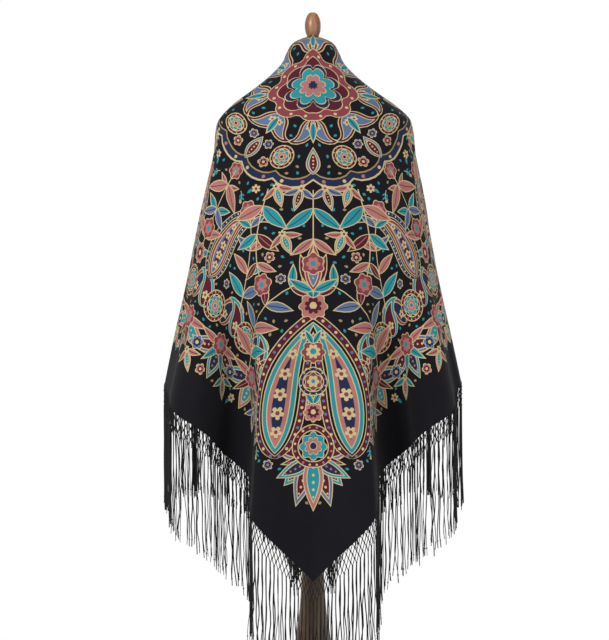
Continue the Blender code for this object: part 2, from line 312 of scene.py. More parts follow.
def hem_run(ruling):
    angle = np.abs(ruling) * math.pi / 2
    across = np.maximum(np.sin(angle) - np.cos(angle), 1e-6)
    upper = (HALF_DIAGONAL - FOLD_BACK - NECK_RUN * neck_share(ruling)) / across
    return np.minimum(lower_hem(ruling, HALF_DIAGONAL + FOLD_BACK), upper)


LEVELS = np.linspace(OUTLINE[0][0], OUTLINE[-1][0], 800)


def level_at(column, run):
    depth = read(OUTLINE, column, LEVELS)
    down = np.concatenate([[0], np.cumsum(np.hypot(np.diff(LEVELS), np.diff(depth)))])
    return np.interp(run, down, LEVELS)


def bearing_at(way, width, depth, edge, total):
    steps = np.linspace(0, 1, 61)
    t = edge[..., None] * steps
    speed = np.hypot(width[..., None] * np.cos(t), depth[..., None] * np.sin(t))
    parts = (speed[..., 1:] + speed[..., :-1]) / 2 * edge[..., None] / 60
    arc = np.cumsum(parts, axis=-1)
    whole = arc[..., -1]
    panel = np.minimum(PANEL, 0.5 * total)
    spare = (total - whole) * np.clip((way - panel) / (total - panel), 0, 1)
    goal = np.clip(way - spare, 0, whole)
    i = np.minimum((arc < goal[..., None]).sum(-1), 59)
    after = np.take_along_axis(arc, i[..., None], -1)[..., 0]
    part = np.take_along_axis(parts, i[..., None], -1)[..., 0]
    return edge * (i + 1 - (after - goal) / part) / 60


def place(ruling, run):
    ruling, run = np.broadcast_arrays(np.asarray(ruling, float), np.asarray(run, float))
    r = np.abs(ruling)
    side = np.where(ruling < 0, -1.0, 1.0)
    way = NECK_RUN * neck_share(r) + run * r * math.pi / 2
    total = NECK_RUN + run * math.pi / 2
    down = NECK_DROP * neck_share(r) + run
    mean = level_at(1, NECK_DROP / 2 + run)
    edge = np.radians(read(FRONT_EDGE, 1, run))
    t = bearing_at(way, read(OUTLINE, 1, mean), read(OUTLINE, 2, mean), edge, total)
    behind = np.cos(t) > 0
    across = np.sin(t) ** 2
    level = level_at(1, down) * across
    level = level + np.where(behind, level_at(2, down), level_at(3, down)) * (1 - across)
    depth = np.where(behind, read(OUTLINE, 2, level), read(OUTLINE, 3, level))
    x = read(OUTLINE, 1, level) * np.sin(t)
    y = -depth * np.cos(t)
    short = hem_run(r) - run
    folded = smooth(1 - short / (hem_run(r) - FOLD_START))
    narrow = 1 - FLARE * short
    hem_x = np.where(ruling < 0, read(HEM_LEFT, 1, r), read(HEM_RIGHT, 1, r)) * narrow
    hem_y = np.where(ruling < 0, read(HEM_LEFT, 2, r), read(HEM_RIGHT, 2, r)) * narrow
    x = x + (hem_x - x) * folded
    y = y + (hem_y - y) * folded
    return np.stack([x * side, y, level], axis=-1)


corner_point = place(0.0, hem_run(0.0))
print("back corner at", np.round(corner_point, 3), "side hem at", np.round(place(0.5, hem_run(0.5)), 3))

# %% [markdown]
# Real wool never hangs perfectly smooth. Between the big folds there are shallow troughs that
# start and stop anywhere. A short table places them: each has a ruling, a half width, a
# depth, and the run where it starts and ends. They push the cloth along its own outward normal.

# %% Soft creases
# ruling, half width, depth, start run, end run
CREASES = (
    (-0.030, 0.022, 0.0030, 0.55, 1.30),
    (0.016, 0.026, -0.0028, 0.30, 0.95),
    (0.055, 0.018, 0.0034, 0.62, 1.20),
    (-0.075, 0.030, -0.0040, 0.28, 0.80),
    (0.115, 0.035, 0.0036, 0.16, 0.60),
    (-0.140, 0.032, 0.0042, 0.14, 0.55),
    (0.205, 0.030, -0.0035, 0.22, 0.74),
    (-0.235, 0.028, 0.0040, 0.30, 0.85),
    (0.300, 0.040, 0.0045, 0.12, 0.52),
    (-0.340, 0.036, -0.0040, 0.16, 0.60),
    (0.385, 0.026, 0.0034, 0.34, 0.82),
    (-0.455, 0.045, 0.0050, 0.10, 0.50),
    (0.470, 0.040, -0.0045, 0.12, 0.56),
    (0.575, 0.038, 0.0050, 0.14, 0.62),
    (-0.590, 0.034, 0.0045, 0.18, 0.66),
    (0.690, 0.040, -0.0040, 0.10, 0.48),
    (-0.720, 0.042, 0.0050, 0.12, 0.55),
    (0.830, 0.045, 0.0050, 0.10, 0.60),
    (-0.860, 0.045, -0.0045, 0.12, 0.64),
    (0.940, 0.030, 0.0040, 0.20, 0.75),
    (-0.950, 0.028, 0.0040, 0.16, 0.70),
)
NORMAL_STEP = 0.004


def outward(ruling, run):
    ruling = np.asarray(ruling, float)
    ahead = place(np.clip(ruling + NORMAL_STEP, -1, 1), run)
    behind = place(np.clip(ruling - NORMAL_STEP, -1, 1), run)
    lower = place(ruling, run + NORMAL_STEP)
    upper = place(ruling, np.maximum(run - NORMAL_STEP, 0))
    normal = np.cross(lower - upper, ahead - behind)
    return normal / np.maximum(np.linalg.norm(normal, axis=-1, keepdims=True), 1e-12)


def crease_depth(ruling, run):
    depth = np.zeros(np.shape(run))
    for middle, half, deep, start, end in CREASES:
        across = np.exp(-(((ruling - middle) / half) ** 2) * 1.6)
        along = smooth((run - start) / 0.16) * (1 - smooth((run - end + 0.2) / 0.2))
        depth = depth + deep * across * along
    return depth


def worn(ruling, run, inset=0.0):
    """Points of the worn cloth, set in by inset, and its normals there."""
    normal = outward(ruling, run)
    depth = crease_depth(ruling, run) + inset
    return place(ruling, run) - normal * depth[..., None], normal


print(len(CREASES), "creases")

# %% [markdown]
# The print is drawn on the flat square, so each flat point has to find its ruling. A ruling
# starts on the fold, a share of the way along the neck, and leaves it at the ruling's angle.
# Halving the range thirty times finds the ruling that passes through the point.

# %% From the flat cloth to rulings
def ruling_of(u, w):
    """The ruling and run of flat points: u along the fold from its middle, w away from the fold."""
    far = np.abs(u)
    low, high = np.zeros(np.shape(far)), np.ones(np.shape(far))
    for _ in range(30):
        middle = (low + high) / 2
        angle = middle * math.pi / 2
        reach = (far - NECK_RUN * neck_share(middle)) * np.cos(angle) - w * np.sin(angle)
        low = np.where(reach > 0, middle, low)
        high = np.where(reach > 0, high, middle)
    run = np.hypot(far - NECK_RUN * neck_share(low), w)
    return np.where(u < 0, -low, low), run


print("corner's ruling and run:", ruling_of(np.array([0.0]), np.array([HALF_DIAGONAL + FOLD_BACK])))

# %% [markdown]
# The print has the colours of madder, indigo and verdigris on black. A motif is a stack of flat
# shapes, each painted over the last: an outline in cream, a fill inside it, a vein on top. Every
# shape is a short list of points from a formula, and a palette holds the dyes.

# %% Dyes and shape formulas
DYES = {
    "black": "15141a",
    "cream": "cdb98a",
    "sand": "a38a5e",
    "pink": "b0726c",
    "wine": "571d2c",
    "rose": "8a3f49",
    "teal": "2b8f98",
    "slate": "5e7292",
    "navy": "232c4a",
}
DYE_NAMES = list(DYES)


def dye_value(name):
    """A dye as linear light."""
    channels = np.array([int(DYES[name][k : k + 2], 16) / 255 for k in (0, 2, 4)])
    return np.where(channels < 0.04045, channels / 12.92, ((channels + 0.055) / 1.055) ** 2.4)


painted = []  # (points, dye), each one over those before it


def lay(points, dye, at=(0, 0), turn=0.0, flip=False):
    """Adds a shape, turned by an angle from pointing along +v, and moved."""
    points = np.asarray(points, float)
    if flip:
        points = points * (-1, 1)
    c, s = math.cos(turn), math.sin(turn)
    x = points[:, 0] * c - points[:, 1] * s + at[0]
    y = points[:, 0] * s + points[:, 1] * c + at[1]
    painted.append((np.stack([x, y], axis=1), dye))


def disc(radius, points=14, squash=1.0):
    a = np.arange(points) * 2 * math.pi / points
    return np.stack([radius * np.cos(a), radius * squash * np.sin(a)], axis=1)


def petals(radius, count, depth=0.3, points=6):
    """A flower's outline with round petals."""
    a = np.arange(count * points) * 2 * math.pi / (count * points)
    r = radius * (1 - depth + depth * np.abs(np.cos(a * count / 2)) ** 0.7)
    return np.stack([r * np.sin(a), r * np.cos(a)], axis=1)


def between(inset, width, bulge, points):
    """Steps along a shape whose half width is width / 2 * sin(pi * t ** bulge), where it exceeds inset."""
    start = math.asin(min(2 * inset / width, 0.98)) / math.pi
    q = np.linspace(0, 1, points + 1)
    q = q - np.sin(2 * math.pi * q) / 14
    return (start + (1 - 2 * start) * q) ** (1 / bulge)


def leaf(length, width, bend=0.0, points=8, inset=0.0):
    """A pointed leaf from the origin, curved to one side by bend."""
    t = between(inset, width, 0.8, points)
    half = np.maximum(width / 2 * np.sin(math.pi * t**0.8) - inset, 0)
    middle = bend * length * t**2
    right = np.stack([middle + half, length * t], axis=1)
    left = np.stack([middle - half, length * t], axis=1)
    return np.concatenate([right, left[-2:0:-1]])


def spine(length, curl, at=None):
    """A curve that sets off along +v and curls to the right by the end: points and headings."""
    t = np.linspace(0, 1, 81)
    turn = curl * t**2.2
    x = np.concatenate([[0], np.cumsum(np.sin(turn[1:]))]) * length / 80
    y = np.concatenate([[0], np.cumsum(np.cos(turn[1:]))]) * length / 80
    at = np.linspace(0, 1, 9) if at is None else np.asarray(at)
    return np.stack([np.interp(at, t, x), np.interp(at, t, y)], axis=-1), np.interp(at, t, turn)


def buta(length, width, curl=2.1, inset=0.0, points=20):
    """The paisley: a drop on a curled spine, drawn smaller inside itself by inset."""
    t = between(inset, width, 0.55, points)
    line, turn = spine(length, curl, t)
    half = np.maximum(width / 2 * np.sin(math.pi * t**0.55) - inset, 0)
    across = np.stack([np.cos(turn), -np.sin(turn)], axis=1)
    right, left = line + across * half[:, None], line - across * half[:, None]
    return np.concatenate([right, left[-2:0:-1]])


def stem(points, width):
    """A ribbon of even width along a few points."""
    points = np.asarray(points, float)
    along = np.gradient(points, axis=0)
    along /= np.linalg.norm(along, axis=1, keepdims=True)
    across = np.stack([along[:, 1], -along[:, 0]], axis=1) * width / 2
    return np.concatenate([points + across, (points - across)[::-1]])


def ring(outer, inner):
    """The band between two outlines."""
    return np.concatenate([outer, outer[:1], inner[:1], inner[::-1]])


def onto(point, at, turn, flip=False):
    """Where a point of a motif's own frame lies on the cloth."""
    x, y = (-point[0] if flip else point[0]), point[1]
    c, s = math.cos(turn), math.sin(turn)
    return (at[0] + x * c - y * s, at[1] + x * s + y * c)


print(len(DYES), "dyes")

# %% [markdown]
# Motifs are stacks of these formulas. Each function below draws one, pointing along +v at the
# origin of its own frame, and takes the place, the turn and a size.

# %% Motifs
LINE = 0.0021  # the width of a drawn outline
TEAL = ("cream", "teal", "navy")
PINK = ("cream", "pink", "wine")
SLATE = ("cream", "slate", "navy")
WINE = ("cream", "wine", "pink")
TREFOIL_LEAVES = (("pink", "teal", "cream"), ("slate", "wine", "cream"), ("teal", "rose", "cream"))


def blossom(at, size, turn=0.0, dyes=("cream", "rose", "pink", "teal"), count=6):
    edge, outer, inner, heart = dyes
    steps = 5 if size > 0.02 else 4
    lay(petals(size, count, points=steps), edge, at, turn)
    lay(petals(size - LINE, count, points=steps), outer, at, turn)
    lay(petals(size * 0.60, count, points=4), inner, at, turn + math.pi / count)
    lay(disc(size * 0.26, 7), heart, at)


def daisy(at, size, dye="cream", heart="rose", count=5):
    lay(petals(size, count, 0.45, 4), dye, at)
    lay(disc(size * 0.35, 6), heart, at)


def frond(at, length, width, turn, dyes=TEAL, bend=0.0, flip=False):
    """A leaf with an outline and a vein."""
    edge, fill, vein = dyes
    lay(leaf(length, width, bend), edge, at, turn, flip)
    lay(leaf(length, width, bend, inset=LINE), fill, at, turn, flip)
    line = [(bend * length * t * t, length * t) for t in (0.12, 0.4, 0.62, 0.8)]
    lay(stem(line, LINE * 0.8), vein, at, turn, flip)


def plume(at, length, width, turn, dyes=("pink", "teal", "cream"), bend=0.0, flip=False):
    """A broad leaf with a coloured rim, a heart and a row of dots."""
    rim, heart, dot = dyes
    for inset, dye in ((0, "cream"), (LINE, rim), (0.17 * width, "cream"), (0.17 * width + LINE, heart)):
        lay(leaf(length, width, bend, 11, inset), dye, at, turn, flip)
    for t in np.linspace(0.25, 0.75, 5):
        spot = onto((bend * length * t * t, length * t), at, turn, flip)
        lay(disc(width * 0.075 * math.sin(math.pi * t), 6), dot, spot)


def spray(at, length, turn, curl, pairs, size, dyes, flip=False):
    """A bent stalk with paired leaves that get smaller, and a flower at its end."""
    line, _ = spine(length, curl)
    lay(stem(line, LINE * 1.1), "cream", at, turn, flip)
    for k in range(pairs):
        share = (k + 0.6) / (pairs + 0.4)
        point, heading = spine(length, curl, share)
        heading = turn + heading * (1 if flip else -1)
        reach = size * (1 - 0.5 * share)
        for side in (-1, 1):
            spot = onto(point, at, turn, flip)
            colours = dyes[(k + (side > 0)) % len(dyes)]
            frond(spot, reach, reach * 0.38, heading + side * 0.85, colours, 0.16, side > 0)
    blossom(onto(line[-1], at, turn, flip), size * 0.30, turn, ("cream", "rose", "pink", "teal"), 6)


def trefoil(at, size, turn, kind):
    """A broad leaf between two narrow ones, with a flower at the foot."""
    for side in (-1, 1):
        colours = (TEAL, PINK, SLATE)[(kind + 1) % 3]
        frond(at, size * 0.80, size * 0.30, turn + side * 0.85, colours, 0.22, side > 0)
    plume(at, size, size * 0.42, turn, TREFOIL_LEAVES[kind % 3])
    daisy(at, size * 0.17, "cream", "rose", 6)


def sprig(at, size, turn):
    """A small bent stalk with two pairs of leaves and a bud."""
    line, heading = spine(size, 0.9, (0, 0.3, 0.6, 1))
    lay(stem(line, LINE * 0.7), "cream", at, turn)
    for k in (1, 2):
        for side in (-1, 1):
            blade = leaf(size * 0.42, size * 0.17, points=4)
            lay(blade, "teal", onto(line[k], at, turn), turn - heading[k] + side * 0.9)
    daisy(onto(line[-1], at, turn), size * 0.17, "cream", "pink")


def rosette(at, radius, dyes=("wine", "teal", "pink", "slate"), count=8, turn=0.0):
    """A round medallion: a beaded rim, a dark field and a flower."""
    rim, outer, inner, heart = dyes
    line = LINE / radius
    for size, dye in ((1, "cream"), (1 - line, rim), (0.74, "cream"), (0.74 - line, "black")):
        lay(disc(radius * size, 28), dye, at)
    for k in range(2 * count):
        bead = onto((0, radius * 0.865), at, turn + (k + 0.5) * math.pi / count)
        lay(disc(radius * 0.062, 6), "cream" if k % 2 else "pink", bead)
    lay(petals(radius * 0.68, count, 0.3, 5), "cream", at, turn)
    lay(petals(radius * 0.68 - LINE, count, 0.3, 5), outer, at, turn)
    lay(petals(radius * 0.44, count, 0.3, 4), "cream", at, turn + math.pi / count)
    lay(petals(radius * 0.44 - LINE * 0.8, count, 0.3, 4), inner, at, turn + math.pi / count)
    lay(disc(radius * 0.20, 9), "cream", at)
    lay(disc(radius * 0.20 - LINE * 0.8, 9), heart, at)


def great_buta(at, length, width, turn, flip=False, curl=2.1, dyes=("wine", "teal", "pink", "navy")):
    """A large paisley with a beaded rim, a leafy heart and dots up its middle."""
    rim, middle, inner, heart = dyes
    edge = 0.135 * width
    for inset, dye in ((0, "cream"), (LINE, rim), (edge, "cream"), (edge + LINE, "black")):
        lay(buta(length, width, curl, inset, 26), dye, at, turn, flip)
    beads = np.linspace(0.015, 0.80, 22)
    line, heading = spine(length, curl, beads)
    half = width / 2 * np.sin(math.pi * beads**0.55) - width * 0.075
    for k in range(len(beads)):
        for side in (-1, 1):
            x = line[k, 0] + side * half[k] * math.cos(heading[k])
            y = line[k, 1] - side * half[k] * math.sin(heading[k])
            lay(disc(width * 0.030, 6), "cream" if k % 2 else "slate", onto((x, y), at, turn, flip))
    for share, dye in ((0.20, middle), (0.29, inner)):
        lay(buta(length, width, curl, width * share), "cream", at, turn, flip)
        lay(buta(length, width, curl, width * share + LINE), dye, at, turn, flip)
    lay(buta(length, width, curl, width * 0.385, 14), heart, at, turn, flip)
    for share in (0.14, 0.24, 0.34, 0.45, 0.56, 0.67):
        point, _ = spine(length, curl, share)
        size = 0.13 * width * math.sin(math.pi * share**0.55)
        daisy(onto(point, at, turn, flip), size, "cream", "rose")


def small_buta(at, length, turn, flip=False, dyes=("rose", "navy", "cream")):
    rim, fill, dot = dyes
    width = length * 0.46
    edge = width * 0.17
    for inset, dye in ((0, "cream"), (LINE, rim), (edge, "cream"), (edge + LINE * 0.9, fill)):
        lay(buta(length, width, inset=inset, points=13), dye, at, turn, flip)
    daisy(onto((0.01 * length, 0.25 * length), at, turn, flip), length * 0.10, dot, "rose")


print("motifs ready")

# %% [markdown]
# A square shawl repeats one wedge eight times: an eighth of the square, mirrored about the
# diagonal and about the line to the middle of a side. Only the wedge is drawn. Its corner at
# the origin is the middle of the shawl. Two rulers measure it: u and v along the diagonals, and
# along and in for the distances along an edge from its middle and inwards from that edge.

# %% The wedge
HEM_TO_MIDDLE = HALF_DIAGONAL / math.sqrt(2)
WEDGE = ((0.0, 0.0), (0.0, HALF_DIAGONAL), (HALF_DIAGONAL / 2, HALF_DIAGONAL / 2))
BORDER = 0.098  # the plain black border
EDGE_TURN = -math.pi / 4  # pointing straight out at the edge
INWARD_TURN = EDGE_TURN + math.pi


def from_edge(along, inwards):
    """A flat point from its distance along the edge, towards the corner, and in from the edge."""
    outwards = HEM_TO_MIDDLE - inwards
    return ((outwards - along) / math.sqrt(2), (outwards + along) / math.sqrt(2))


def garland():
    """Broad leaves that fan out over the black border, with flowers at their feet."""
    pitch = SIDE / 2 / 6
    leaves = (("pink", "teal", "cream"), ("slate", "wine", "cream"), ("teal", "navy", "pink"))
    for k in range(6):
        along = (k + 0.5) * pitch
        if along > 0.58:
            continue
        foot = from_edge(along, BORDER + 0.082)
        for side in (-1, 1):
            plume(foot, 0.098, 0.037, EDGE_TURN + side * 0.98, leaves[k % 3], 0.18, side > 0)
            frond(foot, 0.070, 0.020, EDGE_TURN + side * 1.50, PINK, 0.15, side > 0)
        plume(foot, 0.083, 0.040, EDGE_TURN, leaves[(k + 1) % 3])
        for side in (-1, 1):
            frond(foot, 0.066, 0.019, EDGE_TURN + side * 0.45, TEAL if k % 2 else WINE, 0.12, side > 0)
        blossom(foot, 0.026, EDGE_TURN, ("cream", "rose", "pink", "teal"), 8)
        between_them = from_edge(k * pitch, BORDER + 0.052)
        blossom(between_them, 0.017, EDGE_TURN, ("cream", "slate", "navy", "cream"), 6)


def paisley_row():
    """Small paisleys and round medallions inside the garland."""
    pitch = SIDE / 2 / 6
    for k in range(5):
        along = (k + 0.5) * pitch
        if along < 0.50:
            for side, dyes in ((-1, ("rose", "navy", "cream")), (1, ("teal", "wine", "cream"))):
                foot = from_edge(along + side * 0.026, BORDER + 0.118)
                small_buta(foot, 0.102, INWARD_TURN + side * 0.10, side > 0, dyes)
        if k < 4:
            rosette(from_edge(k * pitch, BORDER + 0.140), 0.034, turn=EDGE_TURN)


garland()
paisley_row()
print(len(painted), "shapes along the edge")

# %% [markdown]
# The corner holds the tallest group: a pair of paisleys whose round ends face the corner, a
# column of medallions between them, and sprays outside. The middle of each side has a lower
# group, and the centre of the shawl is a round medallion of petals and drops.

# %% Corner, side and centre
def corner_group():
    for side in (-1, 1):
        plume((0, 0.790), 0.108, 0.043, side * 0.48, ("slate", "wine", "cream"), -0.12, side > 0)
        plume((0, 0.795), 0.085, 0.034, side * 1.05, ("teal", "navy", "pink"), 0.10, side > 0)
    plume((0, 0.785), 0.120, 0.046, 0.0, ("pink", "teal", "cream"))
    great_buta((0.080, 0.790), 0.390, 0.112, math.pi - 0.06, False, 1.35)
    spray((0.190, 0.600), 0.27, 2.60, 0.9, 4, 0.084, (TEAL, PINK, SLATE, WINE))
    rosette((0, 0.770), 0.045, ("wine", "teal", "pink", "navy"), 8)
    for height, size, dyes in (
        (0.700, 0.022, ("cream", "pink", "wine", "cream")),
        (0.575, 0.026, ("cream", "rose", "cream", "teal")),
        (0.480, 0.030, ("cream", "pink", "wine", "cream")),
    ):
        blossom((0, height), size, 0.0, dyes, 8)
        for side in (-1, 1):
            frond((0, height - 0.015), 0.036, 0.014, math.pi + side * 0.5, TEAL)
    rosette((0, 0.637), 0.030, ("navy", "rose", "cream", "teal"), 6)
    for side in (-1, 1):
        frond((0, 0.440), 0.075, 0.024, math.pi + side * 0.55, WINE, 0.2, side < 0)
        frond((0, 0.450), 0.060, 0.020, math.pi + side * 1.2, TEAL, 0.2, side < 0)
    plume((0, 0.450), 0.105, 0.036, math.pi, ("rose", "slate", "cream"))


def side_group():
    """Lies on the line from the middle of a side to the middle of the shawl."""
    foot = from_edge(0.0, 0.30)
    for side in (-1, 1):
        start, lean = from_edge(side * 0.075, 0.275), INWARD_TURN + side * 0.12
        great_buta(start, 0.235, 0.082, lean, side < 0, 1.6, ("navy", "rose", "slate", "wine"))
        frond(foot, 0.060, 0.018, INWARD_TURN + side * 1.1, TEAL, 0.2, side > 0)
    spray(foot, 0.20, INWARD_TURN, 0.0, 3, 0.068, (PINK, TEAL))
    blossom(foot, 0.024, 0.0, ("cream", "pink", "wine", "cream"), 8)
    spray(from_edge(0.200, 0.275), 0.22, INWARD_TURN + 0.30, 0.8, 4, 0.076, (SLATE, TEAL, PINK), True)


def medallion():
    outline = petals(0.232, 16, 0.06, 6)
    lay(ring(outline, outline * 0.982), "cream", (0, 0), math.pi / 16)
    lay(ring(outline * 0.982, outline * 0.920), "navy", (0, 0), math.pi / 16)
    lay(ring(outline * 0.920, outline * 0.906), "sand", (0, 0), math.pi / 16)
    for k in range(32):
        spot = onto((0, 0.218), (0, 0), (k + 0.5) * math.pi / 16)
        lay(disc(0.0042, 6), "pink" if k % 2 else "cream", spot)
    for k in range(16):
        angle = k * math.pi / 8
        if k % 2:
            rosette(onto((0, 0.168), (0, 0), angle), 0.026, ("wine", "teal", "pink", "navy"), 6)
        else:
            foot = onto((0, 0.205), (0, 0), angle)
            plume(foot, 0.060, 0.030, angle + math.pi, ("slate", "wine", "cream"))
    for k in range(8):
        angle = k * math.pi / 4
        for side in (-1, 1):
            foot = onto((0, 0.080), (0, 0), angle)
            small_buta(foot, 0.082, angle + side * 0.33, side > 0, ("wine", "slate", "cream"))
        frond(onto((0, 0.088), (0, 0), angle), 0.050, 0.016, angle, TEAL)
    for size, dye in ((0.086, "cream"), (0.084, "rose"), (0.068, "cream"), (0.066, "wine")):
        lay(petals(size, 8, 0.22, 7), dye)
    for k in range(16):
        lay(disc(0.0034, 6), "cream", onto((0, 0.0725), (0, 0), (k + 0.5) * math.pi / 8))
    for size, dye in ((0.054, "navy"), (0.044, "teal"), (0.026, "pink")):
        lay(petals(size + 0.002, 8, 0.30, 6), "cream", (0, 0), math.pi / 8)
        lay(petals(size, 8, 0.30, 6), dye, (0, 0), math.pi / 8)
    lay(petals(0.010, 8, 0.30, 6), "navy", (0, 0), math.pi / 8)


corner_group()
side_group()
medallion()
for turn, length in ((0.0, 0.155), (-math.pi / 4, 0.145)):
    spray(onto((0, 0.238), (0, 0), turn), length, turn, 0.0, 2, 0.082, (TEAL, PINK, SLATE))
spray(onto((0, 0.240), (0, 0), -math.pi / 8), 0.21, -math.pi / 8 + 0.1, -0.7, 3, 0.084, (PINK, TEAL, WINE))
print(len(painted), "shapes with the groups")

# %% [markdown]
# Between the big groups a printed shawl is filled with small flowers and sprigs. Putting these
# by hand would take hundreds of lines, so a loop walks a staggered grid over the wedge and sets
# one wherever the cloth is still bare. A spot counts as bare if it is far enough from every
# shape that is already there, and from the border.

# %% Fill the ground
# clear radius, pitch, motif size
FILL_SIZES = ((0.0225, 0.024, 0.050), (0.0150, 0.020, 0.0125), (0.0080, 0.012, 0.0085))


def bare(spot, shapes, lows, highs, clear):
    """Whether a spot is farther than clear from every shape."""
    for k in np.flatnonzero(((spot > lows - clear) & (spot < highs + clear)).all(1)):
        points = shapes[k]
        following = np.roll(points, -1, axis=0)
        edge = following - points
        t = np.clip(((spot - points) * edge).sum(1) / np.maximum((edge**2).sum(1), 1e-12), 0, 1)
        if np.linalg.norm(spot - points - edge * t[:, None], axis=1).min() < clear:
            return False
        crosses = (points[:, 1] > spot[1]) != (following[:, 1] > spot[1])
        rise = np.where(edge[:, 1] == 0, 1, edge[:, 1])
        reach = points[:, 0] + (spot[1] - points[:, 1]) / rise * edge[:, 0]
        if (crosses & (spot[0] < reach)).sum() % 2:
            return False
    return True


def filler(kind, spot, size, turn):
    if size > 0.02:
        outwards = math.atan2(-spot[0], spot[1]) + 0.35 * (kind - 1.5)
        trefoil(onto((0, -0.42 * size), spot, outwards), size, outwards, kind)
    elif size < 0.01:
        lay(leaf(size, size * 0.7, points=4), "sand" if kind % 2 else "teal", spot, turn)
    elif kind == 0:
        blossom(spot, size, turn, ("cream", "pink", "wine", "cream"), 5)
    elif kind == 1:
        sprig(spot - (0.0, size * 0.9), size * 2.0, turn * 0.2)
    elif kind == 2:
        daisy(spot, size * 0.8, "cream", "rose", 6)
        lay(leaf(size * 1.3, size * 0.6, points=5), "teal", spot + (size * 0.6, 0), -1.1)
    else:
        blossom(spot, size * 0.9, turn, ("cream", "slate", "navy", "pink"), 6)


def fill_ground():
    shapes = [image for points, _ in painted for image in (points, points * (-1, 1), points[:, ::-1])]
    lows = np.array([points.min(0) for points in shapes])
    highs = np.array([points.max(0) for points in shapes])
    set_down = []
    for clear, pitch, size in FILL_SIZES:
        rows = int((HEM_TO_MIDDLE - BORDER) / pitch / 0.86) + 1
        for row, column in np.ndindex(rows, rows + 2):
            inwards = BORDER + (row + 0.5) * pitch * 0.86
            spot = np.array(from_edge((column + 0.5 * (row % 2)) * pitch, inwards))
            if not 0 <= spot[0] <= spot[1] + 1e-9 or inwards > HEM_TO_MIDDLE:
                continue
            if any(math.dist(spot, other) < clear * 0.8 + reach for *other, reach in set_down):
                continue
            if not bare(spot, shapes, lows, highs, clear * 0.8):
                continue
            filler((row * 7 + column * 3) % 4, spot, size, 0.9 * ((row * 5 + column * 11) % 7))
            set_down.append((*spot, clear * 0.9))
    return len(set_down)


print(fill_ground(), "small motifs in the ground")

# %% [markdown]
# Now the shapes become a mesh. Blender's constrained triangulation takes overlapping outlines
# and returns triangles that never cross one, each with the list of outlines it lies in, so the
# last of them is the paint on top. Extra points on a grid keep every triangle small enough to
# bend with the folds.

# %% Triangulate the wedge
GRAIN = 0.0100  # the largest flat triangle, about


def anticlockwise(points):
    x, y = points.T
    return points if (x * np.roll(y, -1) - np.roll(x, -1) * y).sum() > 0 else points[::-1]


def wedge_mesh():
    corners = [np.array(p) for p in WEDGE]
    ring = []
    for a, b in zip(corners, corners[1:] + corners[:1]):
        count = int(np.linalg.norm(b - a) / GRAIN)
        ring += [a + (b - a) * k / count for k in range(count)]
    outlines = [(np.array(ring), "black")]
    for points, dye in painted:
        outside = (points[:, 0] < 0).all() or (points[:, 0] > points[:, 1]).all()
        if not outside and (points.sum(1) < HALF_DIAGONAL).any():
            outlines.append((points, dye))
    vertices, faces, dyes = [], [], []
    for points, dye in outlines:
        faces.append(list(range(len(vertices), len(vertices) + len(points))))
        vertices += [Vector(p) for p in anticlockwise(points)]
        dyes.append(DYE_NAMES.index(dye))
    for row in range(int(HALF_DIAGONAL / GRAIN / 0.87) + 1):
        for column in range(int(HALF_DIAGONAL / GRAIN)):
            x, y = (column + 0.5 + 0.5 * (row % 2)) * GRAIN, (row + 0.5) * GRAIN * 0.87
            if x < y - 0.4 * GRAIN and x + y < HALF_DIAGONAL - 0.5 * GRAIN:
                vertices.append(Vector((x, y)))
    made = delaunay_2d_cdt(vertices, [], faces, 0, 1e-5, True)
    points = np.array([tuple(p) for p in made[0]])
    triangles, paint = [], []
    for face, inside in zip(made[2], made[5]):
        if 0 in inside:
            triangles.append(face)
            paint.append(dyes[max(inside)])
    return points, np.array(triangles), np.array(paint)


wedge_points, wedge_triangles, wedge_paint = wedge_mesh()
print(len(wedge_triangles), "triangles in the wedge")

# %% [markdown]
# Eight images of the wedge make the square. It is cut along the fold, so that each triangle
# belongs to the outer or to the under layer, and along two rulings, where the stretches of the
# solids part. Cuts made on the flat mesh leave the same points on both sides, so no seam shows.

# %% The flat square
def whole_square():
    flat = bmesh.new()
    paint = flat.faces.layers.int.new("paint")
    images = [(a, b, swap) for a in (1, -1) for b in (1, -1) for swap in (False, True)]
    for a, b, swap in images:
        points = wedge_points[:, ::-1] if swap else wedge_points
        points = points * (a, b)
        turned_over = (a * b < 0) != swap
        added = [flat.verts.new((x, y, 0)) for x, y in points]
        for triangle, dye in zip(wedge_triangles, wedge_paint):
            order = triangle[::-1] if turned_over else triangle
            flat.faces.new([added[k] for k in order])[paint] = int(dye)
    bmesh.ops.remove_doubles(flat, verts=flat.verts, dist=2e-5)
    cuts = [((0, -FOLD_BACK, 0), (0, 1, 0))]
    for side in (-1, 1):
        angle = side * SEAM * math.pi / 2
        start = side * NECK_RUN * neck_share(SEAM)
        cuts.append(((start, -FOLD_BACK, 0), (math.cos(angle), -math.sin(angle), 0)))
    for point, normal in cuts:
        everything = flat.verts[:] + flat.edges[:] + flat.faces[:]
        bmesh.ops.bisect_plane(flat, geom=everything, dist=1e-5, plane_co=point, plane_no=normal)
    bmesh.ops.triangulate(flat, faces=flat.faces)
    flat.verts.index_update()
    places = np.array([v.co[:2] for v in flat.verts])
    triangles = np.array([[v.index for v in f.verts] for f in flat.faces])
    dyes = np.array([f[paint] for f in flat.faces])
    flat.free()
    return places, triangles, dyes


square_places, square_triangles, square_dyes = whole_square()
print(len(square_triangles), "triangles in the square")

# %% [markdown]
# Wool challis is thin and matt, with a soft bloom where the light grazes it. The print comes from
# a colour stored on the mesh, so its edges stay as sharp as the dye's. Over it go slow blotches
# where the dye took unevenly, a fine twill in the bump, and a little change in roughness. The
# bloom is the shader's sheen, which stays one number so that an exported model keeps it.

